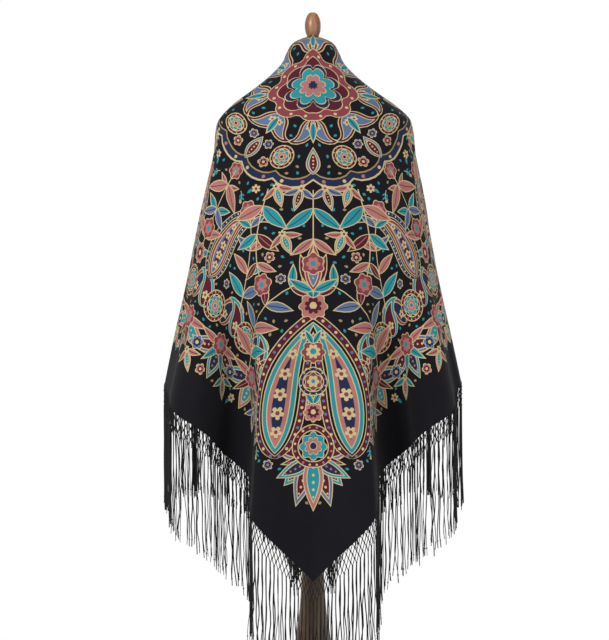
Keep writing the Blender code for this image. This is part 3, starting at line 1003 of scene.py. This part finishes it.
# %% Cloth finishes
def printed_wool():
    finish = Finish("printed wool")
    dye = finish.make("VertexColor", {"layer_name": "dye"})
    cloth = finish.make("UVMap", {"uv_map": "cloth"})
    blotch = finish.make("TexNoise", {}, {"Vector": cloth, "Scale": 9.0, "Detail": 4.0, "Roughness": 0.6})
    fuzz = finish.make("TexNoise", {}, {"Vector": cloth, "Scale": 900.0, "Detail": 2.0})
    middle_part = {"From Min": 0.3, "From Max": 0.7}
    uneven = finish.make("MapRange", {}, {"Value": blotch, **middle_part, "To Min": 0.90, "To Max": 1.10})
    fibres = finish.make("MapRange", {}, {"Value": fuzz, **middle_part, "To Min": 0.86, "To Max": 1.14})
    both = uneven * fibres
    light = finish.make("CombineColor", {}, {"Red": both, "Green": both, "Blue": both})
    ribs = {"Vector": cloth, "Scale": 180.0, "Distortion": 1.5, "Detail": 1.0}
    twill = finish.make("TexWave", {"bands_direction": "DIAGONAL"}, ribs, out=1)
    relief = twill * 0.6 + fuzz * 0.4
    bump = finish.make("Bump", {}, {"Strength": 0.35, "Distance": 0.0004, "Height": relief})
    rough = finish.make("MapRange", {}, {"Value": fuzz, "To Min": 0.74, "To Max": 0.92})
    return finish.surface({
        "Base Color": dye * light,
        "Roughness": rough,
        "Normal": bump,
        "Specular IOR Level": 0.12,
        "Sheen Weight": 0.05,
        "Sheen Roughness": 0.5,
    })


def black_silk():
    finish = Finish("black silk")
    where = finish.make("TexCoord", {}, {}, out=3)
    along = finish.make("TexNoise", {}, {"Vector": where, "Scale": 160.0, "Detail": 2.0})
    stops = ((0.3, (0.0025, 0.0025, 0.0028, 1)), (0.75, (0.010, 0.0095, 0.0105, 1)))
    shade = finish.make("ValToRGB", {"stops": stops}, {"Fac": along})
    twist = finish.make("TexNoise", {}, {"Vector": where, "Scale": 900.0, "Detail": 1.0})
    bump = finish.make("Bump", {}, {"Strength": 0.4, "Distance": 0.0003, "Height": twist})
    rough = finish.make("MapRange", {}, {"Value": along, "To Min": 0.42, "To Max": 0.66})
    sockets = {"Base Color": shade, "Roughness": rough, "Normal": bump, "Specular IOR Level": 0.35}
    return finish.surface(sockets)


wool, silk = printed_wool(), black_silk()
print("made", wool.name, "and", silk.name)

# %% [markdown]
# Each stretch of cloth becomes a thin closed shell: a printed face, a reverse a millimetre behind
# it, and a rim all round. The reverse is a much coarser triangulation inside the same outline,
# with a faint blur of the print, as dye that soaks through shows on real wool.

# %% The reverse
REVERSE_GRAIN = 0.0088
SOAK_CELL = 0.007
SOAK = 0.32
PALETTE = np.array([dye_value(name) for name in DYE_NAMES])


def part_of_square(under, low, high):
    """One stretch of the flat square: its places, triangles and dyes."""
    middles = square_places[square_triangles].mean(1)
    height = middles[:, 1] + FOLD_BACK
    ruling, _ = ruling_of(middles[:, 0], np.abs(height))
    chosen = ((height < 0) == under) & (ruling > low) & (ruling < high)
    used, kept = np.unique(square_triangles[chosen], return_inverse=True)
    return square_places[used], kept.reshape(-1, 3), square_dyes[chosen]


def outline_of(triangles):
    """The numbers of the points round a stretch, in order."""
    edges = np.concatenate([triangles[:, [0, 1]], triangles[:, [1, 2]], triangles[:, [2, 0]]])
    _, first, uses = np.unique(np.sort(edges, axis=1), axis=0, return_index=True, return_counts=True)
    following = dict(edges[first[uses == 1]].tolist())
    loop = [next(iter(following))]
    while following[loop[-1]] != loop[0]:
        loop.append(following[loop[-1]])
    return np.array(loop)


def reverse_of(places, loop):
    """Places and triangles of the reverse. The outline's points come first, in the loop's order."""
    low, high = places.min(0), places.max(0)
    x, y = np.meshgrid(np.arange(low[0], high[0], REVERSE_GRAIN), np.arange(low[1], high[1], REVERSE_GRAIN))
    grid = np.stack([x.ravel(), y.ravel()], axis=1)
    vertices = [Vector(p) for p in np.concatenate([places[loop], grid])]
    made = delaunay_2d_cdt(vertices, [], [list(range(len(loop)))], 0, 1e-7, True)
    triangles = np.array([face for face, inside in zip(made[2], made[5]) if inside])
    origin = np.array([min(numbers) if numbers else -1 for numbers in made[3]])
    used, kept = np.unique(triangles, return_inverse=True)
    order = np.argsort(np.where(origin[used] < 0, 1e9, origin[used]), kind="stable")
    rank = np.empty(len(order), int)
    rank[order] = np.arange(len(order))
    points = np.array([tuple(made[0][k]) for k in used[order]])
    return points, rank[kept.reshape(-1, 3)]


def flat_areas(places, triangles):
    a, b, c = (places[triangles[:, k]] for k in range(3))
    return np.abs((b - a)[:, 0] * (c - a)[:, 1] - (b - a)[:, 1] * (c - a)[:, 0]) / 2


def cell_of(places, triangles):
    return tuple(((places[triangles].mean(1) + HALF_DIAGONAL) / SOAK_CELL).astype(int).T)


def soaked():
    """The print averaged over small cells."""
    cells = cell_of(square_places, square_triangles)
    count = int(2 * HALF_DIAGONAL / SOAK_CELL) + 2
    area = flat_areas(square_places, square_triangles)
    total = np.full((count, count), 1e-12)
    colour = np.zeros((count, count, 3))
    np.add.at(total, cells, area)
    np.add.at(colour, cells, PALETTE[square_dyes] * area[:, None])
    return colour / total[..., None] * SOAK + dye_value("black") * (1 - SOAK)


soak_map = soaked()
print("soak map of", soak_map.shape[0], "cells a side")

# %% [markdown]
# The normals come from the wearing rule instead of the triangles, so that neighbouring stretches
# shade as one cloth. A second set of flat coordinates lays the printed face and the reverse side
# by side on one picture, so that the material can be stored as a picture.

# %% Build the stretches
CLOTH = 0.0013
FRONT_PART = 0.70  # the share of that picture that the printed face gets
BACK_PART = 0.28
BACK_START = 0.72
FOLD_ROUND = 0.02  # the under layer comes off the fold over this width
NORMAL_SHARE = 0.003


def side_of(places, under, depth):
    """Points and outward normals of one face of the shell."""
    w = np.abs(places[:, 1] + FOLD_BACK)
    w = np.where(w < 1e-5, 0, w)
    inset = np.full(len(w), depth)
    if under:
        inset = inset + CLOTH + (WALL + LAYER_GAP - CLOTH) * smooth(w / FOLD_ROUND)
    ruling, run = ruling_of(places[:, 0], w)
    steps = (NORMAL_SHARE, -NORMAL_SHARE)
    across = [worn(np.clip(ruling + step, -1, 1), run, inset)[0] for step in steps]
    down = [worn(ruling, np.maximum(run + step, 0), inset)[0] for step in steps]
    normal = np.cross(down[0] - down[1], across[0] - across[1])
    normal /= np.maximum(np.linalg.norm(normal, axis=1, keepdims=True), 1e-12)
    return worn(ruling, run, inset)[0], normal


def shell(name, under, low, high):
    places, triangles, dyes = part_of_square(under, low, high)
    loop = outline_of(triangles)
    back_places, back_triangles = reverse_of(places, loop)
    front, front_normals = side_of(places, under, CLOTH if under else 0.0)
    back, back_normals = side_of(back_places, under, 0.0 if under else CLOTH)
    k = np.arange(len(loop))
    rim = np.stack([loop, np.roll(loop, -1), np.roll(k, -1) + len(front), k + len(front)], axis=1)
    faces = triangles[:, ::-1].tolist() + (back_triangles + len(front)).tolist() + rim.tolist()
    mesh = bpy.data.meshes.new(name)
    mesh.from_pydata(np.concatenate([front, back]).tolist(), [], faces)

    soaked_through = soak_map[cell_of(back_places, back_triangles)]
    colours = np.concatenate([PALETTE[dyes], soaked_through]).repeat(3, axis=0)
    colours = np.concatenate([colours, np.tile(dye_value("black"), (len(rim) * 4, 1))])
    colours = np.concatenate([colours, np.ones((len(colours), 1))], axis=1)
    layer = mesh.color_attributes.new("dye", "FLOAT_COLOR", "CORNER")
    layer.data.foreach_set("color", colours.astype(np.float32).ravel())

    corners = np.empty(len(mesh.loops), int)
    mesh.loops.foreach_get("vertex_index", corners)
    flat = np.concatenate([places, back_places])
    mesh.uv_layers.new(name="cloth").data.foreach_set("uv", flat[corners].astype(np.float32).ravel())
    lowest, size = flat.min(0), np.ptp(flat, axis=0)
    order = [0, 1] if size[0] > size[1] else [1, 0]
    share = (flat[corners] - lowest)[:, order] / size[order]
    is_front = (corners < len(front))[:, None]
    bake = np.where(is_front, share * (1, FRONT_PART), share * (1, BACK_PART) + (0, BACK_START))
    mesh.uv_layers.new(name="OFBake").data.foreach_set("uv", bake.astype(np.float32).ravel())

    normals = np.concatenate([front_normals, -back_normals]) * (-1 if under else 1)
    mesh.shade_smooth()
    mesh.normals_split_custom_set_from_vertices(normals.tolist())
    mesh.materials.append(wool)
    piece = bpy.data.objects.new(name, mesh)
    bpy.context.scene.collection.objects.link(piece)
    area = float(flat_areas(places, triangles).sum())
    print(name, len(triangles), "triangles,", len(back_triangles), "behind,", round(area, 3), "m2 flat")
    return piece, (float(size[0]), float(size[1])), area


PAST_FRONT = 1.01  # past the last ruling
stretches = {
    "wool_back": (False, -SEAM, SEAM, "shawl_back"),
    "wool_left": (False, -PAST_FRONT, -SEAM, "shawl_left"),
    "wool_right": (False, SEAM, PAST_FRONT, "shawl_right"),
    "wool_under": (True, -PAST_FRONT, PAST_FRONT, "shawl_under"),
}
cloths = {}
for name, (under, low, high, node) in stretches.items():
    cloths[name] = shell(name, under, low, high)
    piece = cloths[name][0]
    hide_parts(node)
    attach(piece, "root")

# %% [markdown]
# The fringe is knotted by hand into the shawl's edge: a net of crossing silk threads with small
# knots, and below it loose strands with a knot near each tip. Blender could hang curves with a
# bevel, but thousands of threads are lighter as one mesh, so one function sweeps a four sided
# tube along many paths at once, and another sets a small ball at every knot.

# %% Threads and knots
NET_ROWS = 4
THREAD = 0.00085
STRAND = 0.00125
KNOT = 0.0023
TUBE_SIDES = 4


def tubes(paths, facing, radius):
    """Tubes along paths, an array of (paths, points, 3). facing is a direction across each."""
    count, length, _ = paths.shape
    along = np.gradient(paths, axis=1)
    along /= np.maximum(np.linalg.norm(along, axis=2, keepdims=True), 1e-9)
    side = np.cross(along, np.broadcast_to(facing, paths.shape))
    side /= np.maximum(np.linalg.norm(side, axis=2, keepdims=True), 1e-9)
    front = np.cross(side, along)
    angles = np.arange(TUBE_SIDES) * 2 * math.pi / TUBE_SIDES
    radius = np.broadcast_to(radius, (count, length))[..., None, None]
    ring = side[:, :, None] * np.cos(angles)[:, None] + front[:, :, None] * np.sin(angles)[:, None]
    points = (paths[:, :, None] + ring * radius).reshape(-1, 3)
    index = np.arange(count * length * TUBE_SIDES).reshape(count, length, TUBE_SIDES)
    turned = np.roll(index, -1, axis=2)
    quads = np.stack([index[:, :-1], turned[:, :-1], turned[:, 1:], index[:, 1:]], axis=-1)
    ends = np.concatenate([index[:, 0, ::-1], index[:, -1]])
    return points, quads.reshape(-1, 4).tolist() + ends.tolist()


BALL_SIDES = 5
BALL_RINGS = ((0.62, 0.72), (1.0, 0.0), (0.62, -0.72))


def balls(centres, radius):
    """Small knots: a short stack of rings with a point above and below."""
    angles = np.arange(BALL_SIDES) * 2 * math.pi / BALL_SIDES
    shape = [(0, 0, 1)]
    for wide, high in BALL_RINGS:
        shape += [(wide * math.cos(a), wide * math.sin(a), high) for a in angles]
    shape.append((0, 0, -1))
    faces = []
    for k in range(BALL_SIDES):
        m = (k + 1) % BALL_SIDES
        faces.append((0, 1 + k, 1 + m))
        for ring in range(len(BALL_RINGS) - 1):
            a, b = 1 + ring * BALL_SIDES, 1 + (ring + 1) * BALL_SIDES
            faces += [(a + k, b + k, b + m), (a + k, b + m, a + m)]
        last = 1 + (len(BALL_RINGS) - 1) * BALL_SIDES
        faces.append((last + k, len(shape) - 1, last + m))
    shape = np.array(shape)
    radius = np.broadcast_to(radius, (len(centres),))
    points = (centres[:, None] + shape[None] * radius[:, None, None]).reshape(-1, 3)
    shift = np.arange(len(centres)) * len(shape)
    return points, [tuple(v + s for v in face) for s in shift for face in faces]


def joined(name, parts, material):
    vertices, faces = [], []
    for points, polygons in parts:
        start = sum(len(v) for v in vertices)
        vertices.append(points)
        faces += [tuple(int(v) + start for v in polygon) for polygon in polygons]
    mesh = bpy.data.meshes.new(name)
    mesh.from_pydata(np.concatenate(vertices).tolist(), [], faces)
    mesh.shade_smooth()
    mesh.materials.append(material)
    piece = bpy.data.objects.new(name, mesh)
    bpy.context.scene.collection.objects.link(piece)
    return piece


print("threads of", THREAD * 2000, "mm, knots of", KNOT * 2000, "mm")

# %% [markdown]
# Every fringe hangs from one edge of the flat square. A point on that edge finds its ruling as
# the print did. The outer fringes fall straight down from there. The ones of the under layer
# slide down the inside of the outer cloth first, and hang free below its hem.

# %% Hang the fringes
KNOT_PITCH = 0.0118
UNDER_SET_BACK = 0.008
UNDER_SPLAY = 0.4


def edge_of(start, end):
    """A fringe's edge as a function from a share along it to flat u and w."""
    start, end = np.array(start), np.array(end)
    return lambda share: start + (end - start) * np.asarray(share)[..., None], np.linalg.norm(end - start)


def hang(edge, share, drop, under):
    flat = edge(share)
    ruling, run = ruling_of(flat[..., 0], flat[..., 1])
    if not under:
        points, normal = worn(ruling, run)
        return points - np.stack([0 * drop, 0 * drop, drop], axis=-1), normal
    kept = np.minimum(run + drop, hem_run(ruling) - 0.004)
    inset = 0.003 + (UNDER_SET_BACK - 0.003) * smooth(drop / 0.03)
    points, normal = worn(ruling, kept, inset)
    rest = run + drop - kept
    return points - np.stack([0 * rest, 0 * rest, rest], axis=-1), normal


def fringe(name, start, end, under, seed, *nodes):
    edge, length = edge_of(start, end)
    chance = np.random.default_rng(seed)
    count = int(length / KNOT_PITCH)
    parts = []
    grid = []
    facing = None
    for row in range(NET_ROWS + 1):
        shift = 0.5 * (row % 2)
        share = np.clip((np.arange(count + 1) + shift) / count, 0, 1)
        drop = np.full(count + 1, -0.002 + (NET_DROP + 0.002) * row / NET_ROWS)
        drop = drop + chance.normal(0, 0.0008, count + 1) * (row > 0)
        points, normal = hang(edge, share, drop, under)
        facing = normal if facing is None else facing
        grid.append(points)
    for row in range(NET_ROWS):
        upper, lower = grid[row], grid[row + 1]
        slanting = (upper[:-1], lower[1:]) if row % 2 else (upper[1:], lower[:-1])
        for a, b in ((upper, lower), slanting):
            middle = (a + b) / 2 - (0, 0, 0.0006)
            paths = np.stack([a, middle, b], axis=1)
            parts.append(tubes(paths, facing[: len(a), None], THREAD))
    knots = np.concatenate(grid[1:])
    parts.append(balls(knots, KNOT * chance.uniform(0.7, 1.05, len(knots))))
    points_down = 11
    drops = np.linspace(0, 1, points_down)
    last_share = np.clip((np.arange(count + 1) + 0.5 * (NET_ROWS % 2)) / count, 0, 1)
    for strand in (-1, 1):
        reach = STRAND_DROP * chance.uniform(0.97, 1.08, count + 1)
        share = np.repeat(last_share[:, None], points_down, axis=1)
        base, normal = hang(edge, share, NET_DROP + reach[:, None] * drops, under)
        tangent = np.cross(normal[:, :1], (0, 0, 1))
        tangent /= np.maximum(np.linalg.norm(tangent, axis=2, keepdims=True), 1e-9)
        sway = chance.normal(0, 0.0042, (count + 1, 1, 1)) + strand * 0.0030
        wave = chance.uniform(0.001, 0.0032, (count + 1, 1)) * np.sin(drops * chance.uniform(6, 19, (count + 1, 1)) + chance.uniform(0, 6, (count + 1, 1)))
        loose = UNDER_SPLAY if under else 1.0
        offset = tangent * (sway * drops[None, :, None] ** 1.5 + wave[..., None] * drops[None, :, None] ** 0.5) * loose
        lift = normal * (1, 1, 0) * chance.normal(0, 0.003, (count + 1, 1, 1)) * drops[None, :, None] ** 1.6 * loose
        paths = base + offset + (np.abs(lift) if not under else -np.abs(lift))
        taper = STRAND * (1 - 0.25 * drops)[None, :] * chance.uniform(0.75, 1.2, (count + 1, 1))
        parts.append(tubes(paths, normal, taper))
        ties = paths[:, -2] * 0.7 + paths[:, -1] * 0.3
        parts.append(balls(ties, KNOT * 0.72 * chance.uniform(0.7, 1.2, len(ties))))
    piece = joined(name, parts, silk)
    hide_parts(*nodes)
    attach(piece, "root")
    print(name, count, "knots across,", len(piece.data.polygons), "faces")
    return piece


fold_reach = HALF_DIAGONAL - FOLD_BACK
bottom = (0.0, HALF_DIAGONAL + FOLD_BACK)
for name, side, seed in (("left", -1, 11), ("right", 1, 23)):
    corner, fold_end = (side * HALF_DIAGONAL, FOLD_BACK), (side * fold_reach, 0.0)
    plan = (
        (f"silk_{name}", bottom, corner, False, f"fringe_{name}"),
        (f"silk_{name}_end", corner, fold_end, False, f"fringe_{name}_end"),
        (f"silk_{name}_under", (0.0, fold_reach), fold_end, True, f"fringe_{name}_under"),
    )
    for k, (piece_name, start, end, under, node) in enumerate(plan):
        fringe(piece_name, start, end, under, seed + k, node)

# %% [markdown]
# Below, each cloth's size as cut, before it was worn, is printed. Each stretch is a part of
# the square with a slanting outline, so its true flat area is given beside its width and length.

for name, (piece, size, flat_area) in cloths.items():
    print(name, "cut", [round(v, 3) for v in size], "m, area", round(flat_area, 3))

# %% [markdown]
# The form is turned wood and a padded body. Wood is a noise stretched along the grain: fine dark
# pores over slow bands, with a satin varnish whose gloss changes a little. The same recipe with
# other colours makes the pale finial and the dark column. The body's cover is dark linen.

# %% Wood and linen
def turned_wood(name, dark, middle, light, gloss):
    finish = Finish(name)
    where = finish.make("TexCoord", {}, {}, out=3)
    stretched = finish.make("Mapping", {}, {"Vector": where, "Scale": (1.0, 1.0, 0.09)})
    slow = {"Vector": stretched, "Scale": 75.0, "Detail": 5.0, "Distortion": 0.6}
    bands = finish.make("TexNoise", {}, slow)
    pores = finish.make("TexNoise", {}, {"Vector": stretched, "Scale": 620.0, "Detail": 2.0})
    grain = bands * 0.8 + pores * 0.2
    stops = ((0.34, dark), (0.66, light), (0.5, middle))
    colour = finish.make("ValToRGB", {"stops": stops}, {"Fac": grain})
    bump = finish.make("Bump", {}, {"Strength": 0.18, "Distance": 0.0003, "Height": grain})
    rough = finish.make("MapRange", {}, {"Value": bands, "To Min": gloss, "To Max": gloss + 0.16})
    coat = {"Coat Weight": 0.35, "Coat Roughness": 0.22}
    return finish.surface({"Base Color": colour, "Roughness": rough, "Normal": bump, **coat})


def dark_linen():
    finish = Finish("dark linen")
    where = finish.make("TexCoord", {}, {}, out=3)
    slub = finish.make("TexNoise", {}, {"Vector": where, "Scale": 420.0, "Detail": 3.0})
    blotch = finish.make("TexNoise", {}, {"Vector": where, "Scale": 14.0, "Detail": 3.0})
    mixed = slub * 0.6 + blotch * 0.4
    stops = ((0.35, (0.010, 0.010, 0.012, 1)), (0.65, (0.030, 0.029, 0.032, 1)))
    colour = finish.make("ValToRGB", {"stops": stops}, {"Fac": mixed})
    bump = finish.make("Bump", {}, {"Strength": 0.5, "Distance": 0.0005, "Height": slub})
    rough = finish.make("MapRange", {}, {"Value": slub, "To Min": 0.8, "To Max": 0.95})
    sockets = {"Base Color": colour, "Roughness": rough, "Normal": bump, "Specular IOR Level": 0.2}
    return finish.surface(sockets)


PALE = ((0.20, 0.080, 0.030, 1), (0.34, 0.150, 0.060, 1), (0.48, 0.245, 0.110, 1))
DARK = ((0.026, 0.010, 0.0008, 1), (0.072, 0.031, 0.0025, 1), (0.120, 0.057, 0.006, 1))
pale_wood = turned_wood("pale wood", *PALE, 0.26)
dark_wood = turned_wood("dark wood", *DARK, 0.28)
linen = dark_linen()
print("made", pale_wood.name, dark_wood.name, linen.name)

# %% [markdown]
# Turned pieces repeat the solids' profiles, a radius at each level, but run a smooth curve through
# them and take many more steps round. The body is the same idea with a width and two depths for
# each level instead of one radius.

# %% Turn the stand and pad the body
ROUND_STEPS = 72
TORSO = (
    (0.800, 0.150, 0.092, 0.088),
    (0.806, 0.162, 0.102, 0.096),
    (0.860, 0.172, 0.112, 0.104),
    (0.930, 0.160, 0.102, 0.102),
    (1.010, 0.130, 0.080, 0.092),
    (1.060, 0.121, 0.074, 0.090),
    (1.130, 0.132, 0.086, 0.104),
    (1.200, 0.152, 0.098, 0.132),
    (1.255, 0.170, 0.102, 0.120),
    (1.300, 0.184, 0.098, 0.100),
    (1.325, 0.176, 0.090, 0.086),
    (1.350, 0.142, 0.080, 0.076),
    (1.385, 0.094, 0.067, 0.064),
    (1.410, 0.064, 0.056, 0.056),
    (1.430, 0.052, 0.054, 0.050),
    (1.455, 0.050, 0.0547, 0.048),
)
CAP = ((0.012, 1.4880), (0.022, 1.4868), (0.033, 1.4800), (0.042, 1.4690), (0.046, 1.4553))
FINIAL = (
    (0.0025, 1.5540),
    (0.0085, 1.5515),
    (0.0135, 1.5440),
    (0.0168, 1.5330),
    (0.0174, 1.5240),
    (0.0162, 1.5130),
    (0.0134, 1.5040),
    (0.0112, 1.4960),
    (0.0112, 1.4883),
)
COLUMN = (
    (0.034, 0.7997),
    (0.034, 0.7780),
    (0.027, 0.7700),
    (0.023, 0.7300),
    (0.022, 0.5600),
    (0.023, 0.4200),
    (0.024, 0.3500),
    (0.028, 0.2800),
    (0.033, 0.2350),
    (0.042, 0.1800),
    (0.046, 0.1400),
    (0.041, 0.1050),
    (0.033, 0.0850),
    (0.040, 0.0700),
    (0.056, 0.0560),
    (0.060, 0.0463),
)
BASE = ((0.070, 0.0460), (0.120, 0.0420), (0.172, 0.0340), (0.196, 0.0240), (0.200, 0.0140), (0.194, 0.0))


def smooth_rows(rows, steps=4):
    """More rows between the given ones, on a curve that doesn't overshoot them much."""
    rows = np.array(rows, float)
    way = np.concatenate([[0], np.cumsum(np.linalg.norm(np.diff(rows, axis=0), axis=1))])
    parts = [np.linspace(a, b, steps, endpoint=False) for a, b in zip(way[:-1], way[1:])]
    fine = np.concatenate(parts + [way[-1:]])
    table = np.concatenate([way[:, None], rows], axis=1)
    return np.stack([read(table, k + 1, fine) for k in range(rows.shape[1])], axis=1)


def lathe(name, rings, material, node):
    """A closed body through rings of points."""
    count = len(rings[0])
    vertices = [tuple(p) for ring in rings for p in ring]
    last = len(vertices) - count
    faces = [tuple(range(count)), tuple(range(last + count - 1, last - 1, -1))]
    for i in range(len(rings) - 1):
        for j in range(count):
            a, b = i * count + j, i * count + (j + 1) % count
            faces.append((a, a + count, b + count, b))
    mesh = bpy.data.meshes.new(name)
    mesh.from_pydata(vertices, [], faces)
    mesh.shade_smooth()
    mesh.set_sharp_from_angle(angle=math.radians(55))
    mesh.materials.append(material)
    piece = bpy.data.objects.new(name, mesh)
    bpy.context.scene.collection.objects.link(piece)
    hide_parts(node)
    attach(piece, "root")
    print(name, len(faces), "faces")
    return piece


def turned(name, profile, material, node):
    angles = np.arange(ROUND_STEPS) * 2 * math.pi / ROUND_STEPS
    rings = [[(r * math.cos(a), r * math.sin(a), z) for a in angles] for r, z in smooth_rows(profile)]
    return lathe(name, rings, material, node)


def body():
    angles = np.arange(ROUND_STEPS) * 2 * math.pi / ROUND_STEPS
    rings = []
    for level, width, behind, front in smooth_rows(TORSO):
        ring = []
        for a in angles:
            ring.append((width * math.cos(a), (front if math.sin(a) > 0 else behind) * math.sin(a), level))
        rings.append(ring)
    return lathe("padded_body", rings, linen, "form_torso")


body()
turned("wood_cap", CAP, pale_wood, "form_cap")
turned("wood_finial", FINIAL, pale_wood, "form_finial")
turned("wood_column", COLUMN, dark_wood, "form_column")
turned("wood_base", BASE, dark_wood, "form_base")

# %% [markdown]
# The light is a white room: a bright even surround, a large soft lamp high on the left and a
# weaker one on the right. The surround keeps the shadows open, and the lamps model the folds.
# The floor is a pale square that ends just outside the picture's lower edge.

# %% Floor and light
FLOOR = 2.6
floor_mesh = bpy.data.meshes.new("floor")
half = FLOOR / 2
corners = [(-half, -half, 0), (half, -half, 0), (half, half, 0), (-half, half, 0)]
floor_mesh.from_pydata(corners, [], [(0, 1, 2, 3)])
floor = bpy.data.objects.new("floor", floor_mesh)
bpy.context.scene.collection.objects.link(floor)
pale = Finish("pale floor")
floor_mesh.materials.append(pale.surface({"Base Color": (0.86, 0.85, 0.84, 1), "Roughness": 0.8}))

world = bpy.data.worlds.new("white room")
world.use_nodes = True
background = world.node_tree.nodes["Background"]
background.inputs["Color"].default_value = (1.0, 1.0, 1.0, 1)
path = world.node_tree.nodes.new("ShaderNodeLightPath")
# The camera sees full white. Everything else gets less, so the cloth isn't washed out.
strength = world.node_tree.nodes.new("ShaderNodeMapRange")
strength.inputs["To Min"].default_value = 0.58
strength.inputs["To Max"].default_value = 1.0
world.node_tree.links.new(path.outputs["Is Camera Ray"], strength.inputs["Value"])
world.node_tree.links.new(strength.outputs[0], background.inputs["Strength"])
bpy.context.scene.world = world


def lamp(name, place_at, aim, size, power):
    data = bpy.data.lights.new(name, "AREA")
    data.size, data.energy = size, power
    made = bpy.data.objects.new(name, data)
    made.location = place_at
    made.rotation_euler = (Vector(aim) - Vector(place_at)).to_track_quat("-Z", "Y").to_euler()
    bpy.context.scene.collection.objects.link(made)


lamp("key", (-1.9, -2.6, 2.5), (0, 0, 1.0), 1.2, 52)
lamp("fill", (2.4, -2.2, 1.4), (0, 0, 0.9), 1.8, 12)
lamp("rear", (0.8, 2.8, 2.6), (0, 0, 1.0), 2.0, 25)
bpy.context.scene.view_settings.view_transform = "Standard"
bpy.context.scene.view_settings.look = "None"
print("lamps set")
